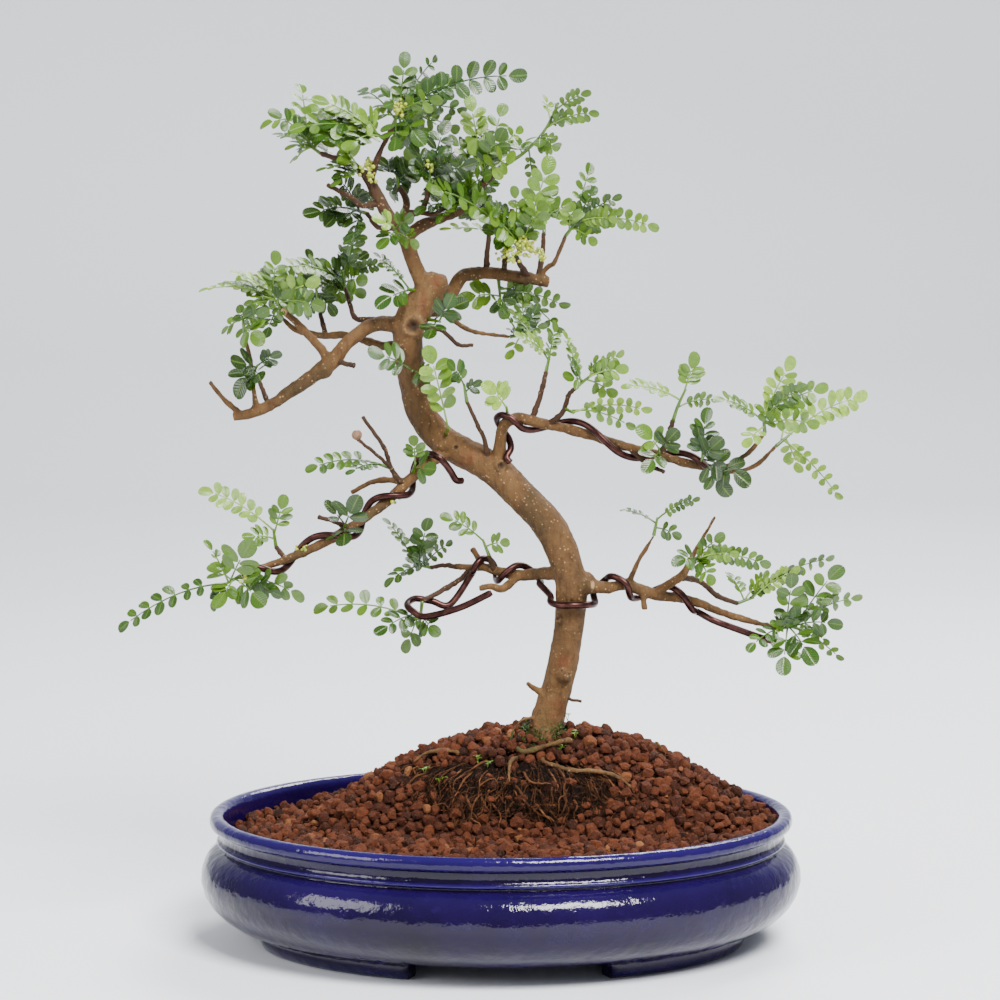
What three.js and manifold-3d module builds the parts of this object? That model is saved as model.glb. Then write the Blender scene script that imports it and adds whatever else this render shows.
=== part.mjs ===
// A japanese pepper bonsai in an oval glazed pot. Millimetres, +Z up, the front towards -Y.
import * as THREE from "three";
import { mergeVertices } from "three/addons/utils/BufferGeometryUtils.js";
import Module from "manifold-3d";

const wasm = await Module();
wasm.setup();

// Driving dimensions
const fitGap = 0.3; // clearance between two pieces that touch
const eyeDistance = 1200; // places are laid out on the plane y = 0, as seen from this far in front
const eyeHeight = 309;
const potHalfLength = 126.5;
const potHalfWidth = 97;
const potSegments = 28;
const potFloorTop = 12;
const footHeight = 7;
const drainRadius = 8;
const drainAt = 52;
const screenSize = 30;
const screenThickness = 1;
const soilFloor = 13.9;
const moundTop = 90.5;
const moundCentre = [18, 2];
const moundReach = { side: 105, back: 82, front: 44 };
const granuleRelief = 1.1;
const ballCentre = [8, 2];
const ballHalf = [62, 37];
const ballBottom = 15.5;
const ballTop = 81.5;
const wireRadius = 1.5;
const wireStandOff = 0.95;
const huskRadius = 2.3;
const ribHalfThickness = 0.6;
const ribHalfWidth = 0.5;
const petioleShare = 0.16;
const leafletTilt = 62; // degrees between a leaflet and the leaf's rib
const smallLeaflet = 5.2; // a leaf keeps one pair of leaflets below this length, two below the next, else three
const largeLeaflet = 8.5;
const broadLeaflet = 8; // leaflets at least this long have shoulders, shorter ones only a point
const leafArch = 0.1;
const shootRadius = 1.1;
const shootLength = 8;
const budRadius = 1.7;

const finish = (color, roughness, metalness = 0) =>
  new THREE.MeshStandardMaterial({ color, roughness, metalness });
const materials = {
  glaze: finish(0x141266, 0.12),
  screen: finish(0x2c3236, 0.6),
  granules: finish(0x6b3420, 0.95),
  rootMass: finish(0x33231a, 1),
  bark: finish(0x7c6350, 0.85),
  wire: finish(0x4a2628, 0.35, 0.9),
  husk: finish(0x7a5638, 0.8),
  matureLeaf: finish(0x2f5a24, 0.4),
};

const group = new THREE.Group();

// A point of the picture plane, moved along its line of sight to the depth y.
function seen(x, y, z) {
  const scale = 1 + y / eyeDistance;
  return new THREE.Vector3(x * scale, y, eyeHeight + (z - eyeHeight) * scale);
}

function solidFrom(positions, triangles) {
  return new wasm.Manifold(
    new wasm.Mesh({
      numProp: 3,
      vertProperties: new Float32Array(positions.flatMap((p) => [p.x, p.y, p.z])),
      triVerts: new Uint32Array(triangles.flat()),
    }),
  );
}

function solidOf(geometry) {
  const bare = geometry.clone();
  bare.deleteAttribute("normal");
  bare.deleteAttribute("uv");
  const merged = mergeVertices(bare, 1e-4);
  return new wasm.Manifold(
    new wasm.Mesh({
      numProp: 3,
      vertProperties: merged.attributes.position.array,
      triVerts: new Uint32Array(merged.index.array),
    }),
  );
}

const joined = (solids) => solids.reduce((a, b) => a.add(b));
const slack = 0.15; // edges shorter than about this are closed up where limbs and leaves grow together

// The largest body of a solid: a loose scrap left by a cut is dropped.
function mainBody(solid) {
  return solid.decompose().reduce((a, b) => (b.volume() > a.volume() ? b : a));
}

function place(name, solid, material) {
  const mesh = solid.getMesh();
  const geometry = new THREE.BufferGeometry();
  geometry.setAttribute("position", new THREE.BufferAttribute(mesh.vertProperties, 3));
  geometry.setIndex(new THREE.BufferAttribute(mesh.triVerts, 1));
  geometry.computeVertexNormals();
  const piece = new THREE.Mesh(geometry, material);
  piece.name = name;
  group.add(piece);
}

// Rings of equal size skinned into one closed body, with a point or a flat fan at each end.
function skin(rings, bottomPole, topPole) {
  const count = rings[0].length;
  const positions = rings.flat();
  const triangles = [];
  for (let r = 0; r + 1 < rings.length; r++) {
    for (let i = 0; i < count; i++) {
      const j = (i + 1) % count;
      const [a, b] = [r * count + i, r * count + j];
      const [c, d] = [a + count, b + count];
      triangles.push([a, b, d], [a, d, c]);
    }
  }
  const bottom = positions.push(bottomPole) - 1;
  const top = positions.push(topPole) - 1;
  const last = (rings.length - 1) * count;
  for (let i = 0; i < count; i++) {
    const j = (i + 1) % count;
    triangles.push([bottom, j, i], [top, last + i, last + j]);
  }
  return solidFrom(positions, triangles);
}

function ovalRing(offset, z, segments = potSegments) {
  return Array.from({ length: segments }, (_, i) => {
    const angle = (2 * Math.PI * i) / segments;
    return new THREE.Vector3(
      (potHalfLength + offset) * Math.cos(angle),
      (potHalfWidth + offset) * Math.sin(angle),
      z,
    );
  });
}

// A limb of round section along smooth points [x, depth, z, radius].
function limb(points, sides, steps, extra = 0) {
  const curve = new THREE.CatmullRomCurve3(
    points.map(([x, y, z]) => seen(x, y, z)), false, "catmullrom", 0.5);
  const rings = [];
  let across = new THREE.Vector3(0, 1, 0);
  for (let i = 0; i <= steps; i++) {
    const t = i / steps;
    const centre = curve.getPoint(t);
    const along = curve.getTangent(t);
    across = across.clone().addScaledVector(along, -across.dot(along)).normalize();
    const other = new THREE.Vector3().crossVectors(along, across);
    const span = t * (points.length - 1);
    const low = Math.min(Math.floor(span), points.length - 2);
    const radius = THREE.MathUtils.lerp(points[low][3], points[low + 1][3], span - low) + extra;
    rings.push(Array.from({ length: sides }, (_, k) => {
      const angle = (2 * Math.PI * k) / sides;
      return centre.clone()
        .addScaledVector(across, radius * Math.cos(angle))
        .addScaledVector(other, radius * Math.sin(angle));
    }));
  }
  const ends = [curve.getPoint(0), curve.getPoint(1)];
  ends[0].addScaledVector(curve.getTangent(0), -extra);
  ends[1].addScaledVector(curve.getTangent(1), extra);
  return skin(rings, ends[0], ends[1]);
}

function lump([x, y, z], radius) {
  const at = seen(x, y, z);
  return solidOf(new THREE.IcosahedronGeometry(radius, 0).translate(at.x, at.y, at.z));
}

// The pot: an oval shell with a rolled lip, a band and a full belly, on four long feet.
const potProfile = [
  [-18, footHeight], [-8, 10], [0, 17], [4, 27], [0.5, 38], [-5, 42], [-3.2, 43.4], [-4, 45.2],
  [-4, 50], [0, 51], [-0.4, 54.6], [-3.3, 56], [-6.5, 54.4], [-6.5, 26], [-18, potFloorTop],
];

function footArc(fromX, toX, side) {
  const section = [[-15.5, 8.4], [-19, 0], [-29, 0], [-26, 8.4]];
  const steps = 5;
  const rings = [];
  for (let i = 0; i <= steps; i++) {
    const x = THREE.MathUtils.lerp(fromX, toX, i / steps);
    const angle = Math.acos(x / (potHalfLength - 20));
    rings.push(section.map(([offset, z]) => new THREE.Vector3(
      (potHalfLength + offset) * Math.cos(angle),
      side * (potHalfWidth + offset) * Math.sin(angle),
      z,
    )));
  }
  const middle = (ring) => ring.reduce((a, p) => a.add(p), new THREE.Vector3()).divideScalar(4);
  const foot = skin(rings, middle(rings[0]), middle(rings[steps]));
  return foot;
}

function drainTool(x) {
  const hole = new THREE.CylinderGeometry(drainRadius, drainRadius, 30, 12);
  return solidOf(hole.rotateX(Math.PI / 2).translate(x, 0, potFloorTop));
}

function makePot() {
  const shell = skin(
    potProfile.map(([offset, z]) => ovalRing(offset, z)),
    new THREE.Vector3(0, 0, footHeight),
    new THREE.Vector3(0, 0, potFloorTop),
  );
  const feet = [
    footArc(-101, -38, -1), footArc(45, 103, -1), footArc(-38, -101, 1), footArc(103, 45, 1),
  ];
  const whole = joined([shell, ...feet]);
  return whole.subtract(drainTool(-drainAt)).subtract(drainTool(drainAt));
}

// A square screen with square openings, lying over a drainage hole.
function makeScreen(x) {
  const at = [x, 0, potFloorTop + fitGap + screenThickness / 2];
  const plate = solidOf(new THREE.BoxGeometry(screenSize, screenSize, screenThickness).translate(...at));
  const pitch = screenSize / 4;
  return [-1, 0, 1].flatMap((i) => [-1, 0, 1].map((j) => [i * pitch, j * pitch])).reduce((solid, [dx, dy]) => {
    const opening = new THREE.BoxGeometry(pitch - 2, pitch - 2, 4 * screenThickness);
    return solid.subtract(solidOf(opening.translate(at[0] + dx, dy, at[2])));
  }, plate);
}

// Height of the granules: a heap that falls to the level along the wall.
function soilHeight(x, y) {
  const end = x < 0 ? 7 : 3;
  const level = 51 - y / 90 - end * (x / 120) ** 2;
  const dx = (x - moundCentre[0]) / moundReach.side;
  const dy = (y - moundCentre[1]) / (y > moundCentre[1] ? moundReach.back : moundReach.front);
  const rise = Math.max(0, 1 - dx * dx - dy * dy) ** 1.15;
  const relief = granuleRelief * (Math.sin(x * 0.61 + y * 0.23) + Math.sin(y * 0.57 - x * 0.31 + 1));
  return level + (moundTop - level) * rise + relief;
}

function makeSoil() {
  const rings = [ovalRing(-19.5, soilFloor), ovalRing(-7.2, 27)];
  const shares = [1, 0.9, 0.78, 0.64, 0.48, 0.24];
  for (const share of shares) {
    rings.push(ovalRing(-7.2, 0).map((p) => {
      const [x, y] = [p.x * share, p.y * share];
      return new THREE.Vector3(x, y, soilHeight(x, y));
    }));
  }
  const heap = skin(rings, new THREE.Vector3(0, 0, soilFloor), new THREE.Vector3(0, 0, soilHeight(0, 0)));
  const recess = new THREE.BoxGeometry(screenSize + 1, screenSize + 1, 2);
  const screens = [-drainAt, drainAt].map((x) => solidOf(recess.clone().translate(x, 0, soilFloor - 0.4)));
  return heap.subtract(screens[0]).subtract(screens[1]);
}

// The dark root mass, bared at its front.
function makeRootBall(extra) {
  const levels = [
    [0.66, 0], [0.94, 0.2], [1, 0.5], [0.96, 0.74], [0.8, 0.9], [0.42, 1],
  ];
  const sides = 16;
  const rings = levels.map(([spread, rise], level) => Array.from({ length: sides }, (_, i) => {
    const angle = (2 * Math.PI * i) / sides;
    const shoulder = 0.12 * Math.max(0, Math.cos(angle + Math.PI / 4)) ** 2;
    const knobs = 1 + shoulder + 0.03 * Math.sin(angle * 7 + level * 1.7) + 0.02 * Math.sin(angle * 11 - level);
    const lift = 0.8 * Math.sin(angle * 5 + level * 2.1);
    return new THREE.Vector3(
      ballCentre[0] + (ballHalf[0] * knobs * spread + extra) * Math.cos(angle),
      ballCentre[1] + (ballHalf[1] * knobs * spread + extra) * Math.sin(angle),
      ballBottom + (ballTop - ballBottom) * rise + (level ? lift : 0) + (rise > 0.8 ? extra : 0)
        - (level ? 0 : extra),
    );
  }));
  const middle = (z) => new THREE.Vector3(ballCentre[0], ballCentre[1], z);
  return skin(rings, middle(ballBottom - extra), middle(ballTop + 0.8 + extra));
}

// The tree's limbs as [x, depth, z, radius].
const limbs = {
  trunk: [
    [19, 0, 68, 5.5], [19, 0, 84, 8], [19.5, 0, 93, 7.6], [23.8, -1, 108, 6.6], [26, -2, 116, 6.8],
    [29.4, -4, 136, 6.5], [30.2, -5, 150, 7], [29.7, -5, 159, 7], [24.5, -3, 173.5, 7.3],
    [18.9, -1, 182.6, 7.1], [8.2, 2, 193.5, 6.9], [-2.6, 5, 204.3, 7.2], [-17.6, 7, 212.8, 6.8],
    [-26.2, 8, 218.3, 6.7], [-34.7, 7, 229.8, 6.4], [-37.3, 6, 239, 6.2], [-39.4, 3, 254.8, 6.2],
    [-39.3, 2, 266, 7.3], [-35.4, 0, 274.4, 6.9], [-31.2, -1, 279.5, 6.6], [-28, -2, 286, 6],
    [-27, -2, 289, 3.4],
  ],
  leader: [
    [-31, -1, 280, 4.2], [-33.5, -2, 284.5, 3.9], [-37.1, -3, 292.7, 3.5], [-41.7, -5, 305.4, 3.2],
    [-48, -7, 313.1, 2.9], [-53.9, -8, 324.1, 2.6], [-58.5, -9, 331.8, 2.1],
  ],
  rightFork: [
    [-41, -5, 303, 3], [-34.4, -3, 308.4, 2.7], [-25.9, 0, 311.8, 2.4], [-19.5, 3, 314.3, 2.3],
    [-13.1, 6, 317.7, 2.1], [-8.1, 8, 325.8, 2], [-3.8, 9, 330.9, 1.9], [0.8, 10, 333.9, 1.6],
  ],
  upperRight: [
    [-33, 0, 277, 3.6], [-25, 6, 276, 3.3], [-20.5, 11, 281.6, 3.2], [-17.5, 14, 286.3, 3.1],
    [-13.2, 17, 288.4, 3], [-4.7, 20, 288.8, 2.9], [3.8, 22, 287.6, 2.9], [12.4, 24, 286.3, 3],
    [20.5, 26, 285, 2.7],
  ],
  upperLeft: [
    [-40, 2, 266.5, 4], [-46, 0, 267, 3.7], [-52.6, -2, 267.2, 3.4], [-58.1, -4, 265, 3.2],
    [-63.7, -6, 260.8, 3.1], [-68, -7, 256.5, 3.1], [-71, -8, 252.3, 3.4], [-75.3, -9, 248.5, 3.7],
    [-80.9, -11, 244.6, 3.1], [-86, -13, 240.8, 3], [-92.4, -15, 236.6, 2.8], [-98, -17, 232.7, 2.6],
    [-104, -19, 229.8, 2.5], [-109.6, -21, 228, 2.4], [-115.2, -22, 226.8, 1.8],
  ],
  backLeft: [
    [-40, 4, 257.5, 2.6], [-46, 9, 257.8, 2.3], [-51.7, 12, 257.8, 2.1], [-59.4, 15, 260.4, 1.9],
    [-67.5, 18, 262.5, 1.8], [-75.2, 21, 262, 1.7], [-83.8, 24, 263.3, 1.6], [-89.3, 26, 265.5, 1.4],
    [-93.5, 28, 269.5, 1.2],
  ],
  middleRight: [
    [-3, 5, 204, 4], [-1, 2, 209, 3.4], [-0.4, 0, 214.9, 2.8], [0.4, -2, 221.3, 2.6],
    [3, -4, 225.3, 2.6], [8.1, -5, 226.6, 2.5], [16.7, -6, 224.7, 2.4], [29.6, -8, 221.7, 2.3],
    [42.5, -10, 217.9, 2.2], [55.4, -12, 214, 2.1], [68.3, -14, 210.6, 2.1], [81.2, -15, 206.8, 2],
    [92, -16, 205.1, 1.6],
  ],
  middleLeft: [
    [-22, 7, 213, 3.4], [-27, 3, 210.3, 2.9], [-30.5, 0, 207.7, 2.6], [-37, -4, 202.1, 2.5],
    [-43.4, -7, 196.1, 2.4], [-49.9, -10, 190, 2.3], [-57.2, -13, 184.7, 2.3], [-64.9, -16, 179.5, 2.3],
    [-73.5, -19, 174.3, 2.2], [-84.3, -22, 169, 2.1], [-95, -25, 164.7, 1.9], [-104.5, -28, 161.6, 1.6],
    [-112.2, -30, 158.6, 1.2],
  ],
  lowerLeft: [
    [25, -4, 160, 3.4], [21, 0, 159.6, 3.1], [16.8, 4, 159.5, 2.9], [8.2, 9, 158.6, 2.6],
    [-0.4, 13, 160.3, 2.4], [-6.9, 16, 162.1, 2.1], [-13.3, 18, 162.1, 1.8], [-18.9, 20, 162.5, 1.4],
  ],
  lowerRight: [
    [30, -5, 153.8, 3.8], [36, -5, 153.6, 3.4], [40.5, -4, 153.8, 3], [47, -3, 153.3, 2.9],
    [53.4, -2, 154.7, 2.8], [59.9, -1, 152.5, 2.7], [68.5, 0, 149.9, 2.5], [77.1, 1, 149, 2.3],
    [85.8, 2, 146.4, 2.1], [94.4, 3, 142.9, 1.9], [105.2, 4, 139.4, 1.7], [120.3, 6, 135.5, 1.2],
  ],
};

const twigs = {
  baseRight: [[26, -3, 105.8, 0.9], [30.5, -3.4, 104.4, 0.7], [34.8, -4, 103.6, 0.6]],
  leaderLeft: [[-58, -9, 331, 1.9], [-64, -8, 334, 1.6], [-70.3, -6, 337.3, 1.5], [-76.7, -3, 339.5, 1.3]],
  leaderTop: [[-55.5, -8.5, 328, 1.7], [-52.1, -9, 339, 1.4], [-49.1, -9, 344.5, 1.3], [-45.8, -8, 352, 1.1]],
  leaderGrey: [
    [-42.2, -5, 306, 2.2], [-41.2, -2, 313.5, 1.9], [-40.3, 0, 318.2, 1.8], [-41.5, 3, 322.4, 1.5],
    [-43.5, 5, 325, 1.3],
  ],
  greySide: [[-40.6, -1, 314.5, 1.4], [-34.4, -6, 314.8, 1.3], [-31.8, -8, 319.9, 1.1], [-30.8, -9, 325.5, 1]],
  greyLow: [[-34.5, -6, 314.6, 1.1], [-29, -9, 313.8, 1], [-24.6, -12, 315.8, 0.9]],
  leftSmall: [[-51.5, -7.5, 318.5, 1.4], [-59, -11, 317.3, 1.2], [-64.1, -14, 321.1, 1.1], [-73.8, -20, 326.2, 0.9]],
  leftLow: [[-44.5, -6, 308, 1.3], [-52.3, -2, 308.3, 1.1], [-57, 4, 314, 0.9]],
  upperRightA: [[-6, 20, 289, 1.5], [-6, 21, 296, 1.2], [-4.7, 22, 308.4, 0.9]],
  upperRightB: [[1, 21.5, 288.5, 1.3], [2.1, 18, 297.8, 1.1], [3.8, 15, 306.3, 1], [4.7, 14, 316, 1]],
  upperRightC: [[12, 24, 286.5, 1.5], [8.1, 16, 292.7, 1.2], [6, 10, 296.1, 1.1]],
  upperRightD: [[15.7, 25, 286.5, 1.6], [20, 24, 291.4, 1.3], [23, 22, 293.5, 1.2], [27.6, 18, 304.6, 1]],
  upperRightE: [[16, 25, 287, 1.3], [17.9, 32, 297.8, 1.1], [18.3, 35, 305.4, 0.9]],
  backRight: [
    [-38, 4, 271, 2.2], [-28, 9, 271.5, 1.7], [-23.9, 12, 271, 1.5], [-16.7, 15, 266, 1.3],
    [-9.8, 17, 263.3, 1.2], [3.8, 19, 261.6, 0.9],
  ],
  backLoop: [[-38, 4, 266, 1.6], [-26, 10, 264.5, 1], [-18.4, 13, 258.4, 0.9], [-12, 15, 257.9, 0.8]],
  upperLeftTip: [[-111, -21, 228, 1.5], [-118.2, -24, 234, 1.3], [-125, -27, 242.5, 1.2]],
  upperLeftStub: [[-73.5, -8.5, 251, 2.6], [-78, -8, 257.5, 2.1], [-88.8, -5, 268.9, 1.9], [-93.8, -4, 273.5, 1.7]],
  upperLeftA: [[-105, -19.5, 229.5, 1.7], [-106.2, -22, 240.4, 1.3], [-107.3, -24, 251, 1.2], [-109.7, -25, 262.5, 1]],
  upperLeftB: [[-99.5, -17.5, 232, 1.2], [-102, -12, 238.5, 1], [-104, -9, 243, 0.9]],
  upperLeftSpur: [[-72, -8, 252, 1.3], [-66.5, -11, 250, 1.1], [-63, -12, 249.3, 1.1]],
  upperLeftC: [[-52, -2, 268, 1.6], [-57, 4, 269, 1.3], [-62.5, 9, 270, 1.1], [-66.8, 14, 282.5, 0.9]],
  backLeftA: [[-75, 21, 262, 1.2], [-77, 27, 270, 1], [-78, 30, 277, 0.9]],
  middleRightA: [[90, -16, 205.3, 1.5], [98.4, -18, 206.8, 1.4], [106.1, -21, 211.5, 1.3], [113.4, -24, 220.4, 1]],
  middleRightB: [[91, -16, 205, 1.5], [98.4, -12, 203.6, 1.3], [109.1, -8, 206, 1.2], [118.1, -3, 214.5, 1]],
  middleRightC: [[12.9, -5.5, 225.5, 1.4], [15.9, -2, 233.2, 1.2], [18, 1, 240.4, 1.1], [19.3, 3, 246.3, 1]],
  middleRightD: [[21, -7, 224, 1.4], [26.6, -12, 229.3, 1.1], [28.8, -15, 236.1, 1], [32.5, -17, 240.2, 0.9]],
  middleRightE: [[68.8, -14, 210.5, 1.4], [71.8, -17, 219.1, 1.1], [73.9, -19, 225.5, 1]],
  middleRightF: [[55.5, -12, 213.5, 1.2], [63.2, -18, 206.8, 1], [70.1, -22, 203.4, 0.8]],
  trunkTwig: [[-5, 4, 206, 1.5], [-6.9, -3, 217, 1], [-9.9, -7, 223.4, 0.9], [-14.6, -12, 233.6, 0.8]],
  middleLeftStub: [[-40.4, -5.5, 199, 1.9], [-47.7, -2, 200, 1.7], [-55.5, 1, 199.1, 1.4], [-64.5, 4, 194.5, 1.1]],
  middleLeftBare: [[-42.5, -7, 198.5, 1.4], [-47.3, -12, 205.1, 1], [-50.3, -15, 214, 0.9], [-59.3, -20, 227.2, 0.8]],
  huskTwig: [[-46.5, -11.5, 204.3, 0.9], [-51, -18, 208.7, 0.8], [-61.4, -24.2, 217.4, 0.7]],
  middleLeftSide: [[-66, -16, 179, 1.2], [-71, -22, 181.7, 0.9], [-78.5, -26, 184, 0.9]],
  middleLeftUp: [[-93, -24.5, 165.5, 1.1], [-97, -20, 171, 1]],
  lowerLeftFork: [[6.5, 9, 157.5, 2], [0.9, 6, 152.9, 1.8], [-4.7, 5, 153.9, 1.6], [-9.5, 4.5, 152.9, 1.4]],
  lowerLeftStub: [[-7.2, 16, 162, 1.6], [-12.5, 19, 170.4, 1.3]],
  lowerLeftLong: [[-12.5, 17.8, 162, 1.4], [-16.8, 20, 157.5, 1.2], [-23.2, 17, 153.2, 1.2], [-34, 3, 147.5, 1]],
  lowerLeftUp: [[-3, 13.5, 161, 1.3], [-5, 11, 167, 1]],
  lowerLeftEnd: [[-18, 20, 162.4, 1.2], [-25, 23, 163, 1], [-30, 25, 162, 0.9]],
  lowerRightFork: [
    [66, 0, 150.5, 2.2], [73.7, -4, 155.5, 2], [78.8, -6, 159.4, 1.8], [84.3, -9, 169.9, 1.3],
    [92.4, -13, 184.3, 0.8],
  ],
  lowerRightUp: [[55, -2, 154.5, 1.6], [59, -6, 164.2, 1.2], [62.4, -9, 169.9, 1.1], [65.9, -11, 176, 0.9]],
  lowerRightBack: [[77, -5.2, 158, 1.5], [86, 5, 156, 1.2], [93.6, 12, 149.7, 1.2], [102.1, 17, 146.5, 1]],
  lowerRightHang: [[61, -1.5, 151.5, 1.6], [62, -3, 143.8, 1.3]],
  cutStub: [[30, -6, 152, 3.4], [35.5, -10, 154, 3.1], [39.3, -12.5, 154.6, 2.7]],
  lowStub: [[20, -0.5, 106, 1.8], [13.8, -4, 109.7, 1.4], [11.2, -5, 111.9, 1]],
};

// Surface roots that leave the trunk's foot under the granules and come out on the root mass.
const roots = [
  [[19, 0, 84, 4], [5, -4, 79, 2.4], [-10, -6, 77, 2], [-17, -9, 80.5, 1.7], [-24, -8, 82, 1.6],
    [-32, -9, 81, 1.4], [-38, -10, 77, 1.1]],
  [[19, 0, 84, 4], [28, -8, 84, 2.2], [30, -13, 86.5, 1.9], [24, -16, 85.4, 1.8], [17, -17, 83.2, 1.8],
    [10, -18, 81.4, 1.8], [6.5, -17, 83.6, 1.4]],
  [[19, 0, 84, 4], [19, -12, 79, 2.2], [19, -20.5, 77, 1.9], [30, -25, 73.4, 1.8], [40, -25.5, 73, 1.7],
    [50, -24, 70.6, 1.5], [58.5, -25, 64.5, 1.1]],
  [[19, 0, 84, 4], [9, -14, 79.5, 1.8], [4.5, -22.5, 77.5, 1.5], [3.5, -29, 72, 1.3], [4, -32, 66, 1]],
  [[19, 0, 84, 4], [45, 4, 79, 2], [64, 4, 75, 1.4], [71.5, 3, 80, 1.1], [67, 1, 86, 0.9]],
  [[17, -1, 97, 1.6], [9.5, -6, 95.5, 1.1], [6, -9, 92, 1], [4, -10, 86, 1]],
];

const knots = [
  [[27.5, -8.6, 114.6], 3.4], [[-37, -3.5, 267], 4], [[-25.5, 2.5, 215.5], 3.6], [[-76, -9.5, 247.5], 4.2],
];

function makeTree(extra) {
  const parts = [];
  for (const [name, points] of Object.entries(limbs)) {
    const trunk = name === "trunk";
    parts.push(limb(points, trunk ? 8 : 5, trunk ? 17 : Math.ceil(0.65 * points.length), extra));
  }
  for (const points of Object.values(twigs)) parts.push(limb(points, 4, Math.min(points.length - 1, 2), extra));
  for (const points of roots) parts.push(limb(points, 4, points.length - 1, extra));
  if (!extra) for (const [at, radius] of knots) parts.push(lump(at, radius));
  return joined(parts);
}

// A point on the limb at share t, and the directions round it: towards the front and up.
function limbFrame(points, t) {
  const curve = new THREE.CatmullRomCurve3(
    points.map(([x, y, z]) => seen(x, y, z)), false, "catmullrom", 0.5);
  const along = curve.getTangent(t);
  const front = new THREE.Vector3(0, -1, 0).addScaledVector(along, along.y).normalize();
  const up = new THREE.Vector3().crossVectors(front, along);
  if (up.z < 0) up.negate();
  const span = t * (points.length - 1);
  const low = Math.min(Math.floor(span), points.length - 2);
  const radius = THREE.MathUtils.lerp(points[low][3], points[low + 1][3], span - low);
  return { centre: curve.getPoint(t), front, up, radius };
}

// A wire wound round a limb: degrees run from the front (0) over the top (90) to the back (180).
function wound(points, fromShare, toShare, fromDegrees, toDegrees) {
  const count = Math.ceil(Math.abs(toDegrees - fromDegrees) / 45);
  return Array.from({ length: count + 1 }, (_, i) => {
    const share = THREE.MathUtils.lerp(fromShare, toShare, i / count);
    const angle = THREE.MathUtils.degToRad(THREE.MathUtils.lerp(fromDegrees, toDegrees, i / count));
    const { centre, front, up, radius } = limbFrame(points, share);
    const out = radius + wireRadius + wireStandOff;
    return centre.addScaledVector(front, out * Math.cos(angle)).addScaledVector(up, out * Math.sin(angle));
  });
}

const free = (points) => points.map(([x, y, z]) => seen(x, y, z));

function wirePath(name) {
  if (name === "wire_lower") {
    return [
      ...free([[-3.9, -3, 151.2], [-17.7, -4, 144.6], [-32.4, -4, 140.7], [-38, -1, 143], [-40.5, 5, 146],
        [-37, 10, 148.5], [-30, 11, 147.5], [-22, 11.5, 146]]),
      ...wound(limbs.lowerLeft, 0.84, 0.28, -60, 650),
      ...free([[21.2, -5, 150], [21.6, -8.6, 147], [25.5, -12.8, 145.6], [31.5, -14.6, 145.6],
        [37.6, -11.6, 145.8], [40.6, -5.5, 146.6]]),
      ...wound(limbs.lowerRight, 0.19, 0.74, 220, -460),
      ...free([[92, -2.4, 139], [101, -1.2, 135.6], [111, 1, 132], [119, 4, 129.5]]),
    ];
  }
  if (name === "wire_left") {
    return [
      ...free([[-16.4, -1, 199.6], [-19.3, -3, 200], [-21.6, -5.4, 203.6], [-24.4, -7.4, 207.4],
        [-27.8, -7, 210.4]]),
      ...wound(limbs.middleLeft, 0.17, 0.94, 75, 1120),
    ];
  }
  return [
    ...free([[4, -3.5, 207.5]]),
    ...wound(limbs.middleRight, 0.12, 0.98, -40, -1080),
  ];
}

const wires = { wire_lower: 84, wire_left: 36, wire_right: 36 };

function makeWire(name, steps, extra) {
  const curve = new THREE.CatmullRomCurve3(wirePath(name), false, "catmullrom", 0.5);
  const sides = 5;
  const rings = [];
  let across = new THREE.Vector3(0, 1, 0);
  for (let i = 0; i <= steps; i++) {
    const along = curve.getTangentAt(i / steps);
    across = across.clone().addScaledVector(along, -across.dot(along)).normalize();
    const other = new THREE.Vector3().crossVectors(along, across);
    rings.push(Array.from({ length: sides }, (_, k) => {
      const angle = (2 * Math.PI * k) / sides;
      return curve.getPointAt(i / steps)
        .addScaledVector(across, (wireRadius + extra) * Math.cos(angle))
        .addScaledVector(other, (wireRadius + extra) * Math.sin(angle));
    }));
  }
  return skin(rings, curve.getPointAt(0), curve.getPointAt(1));
}

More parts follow.
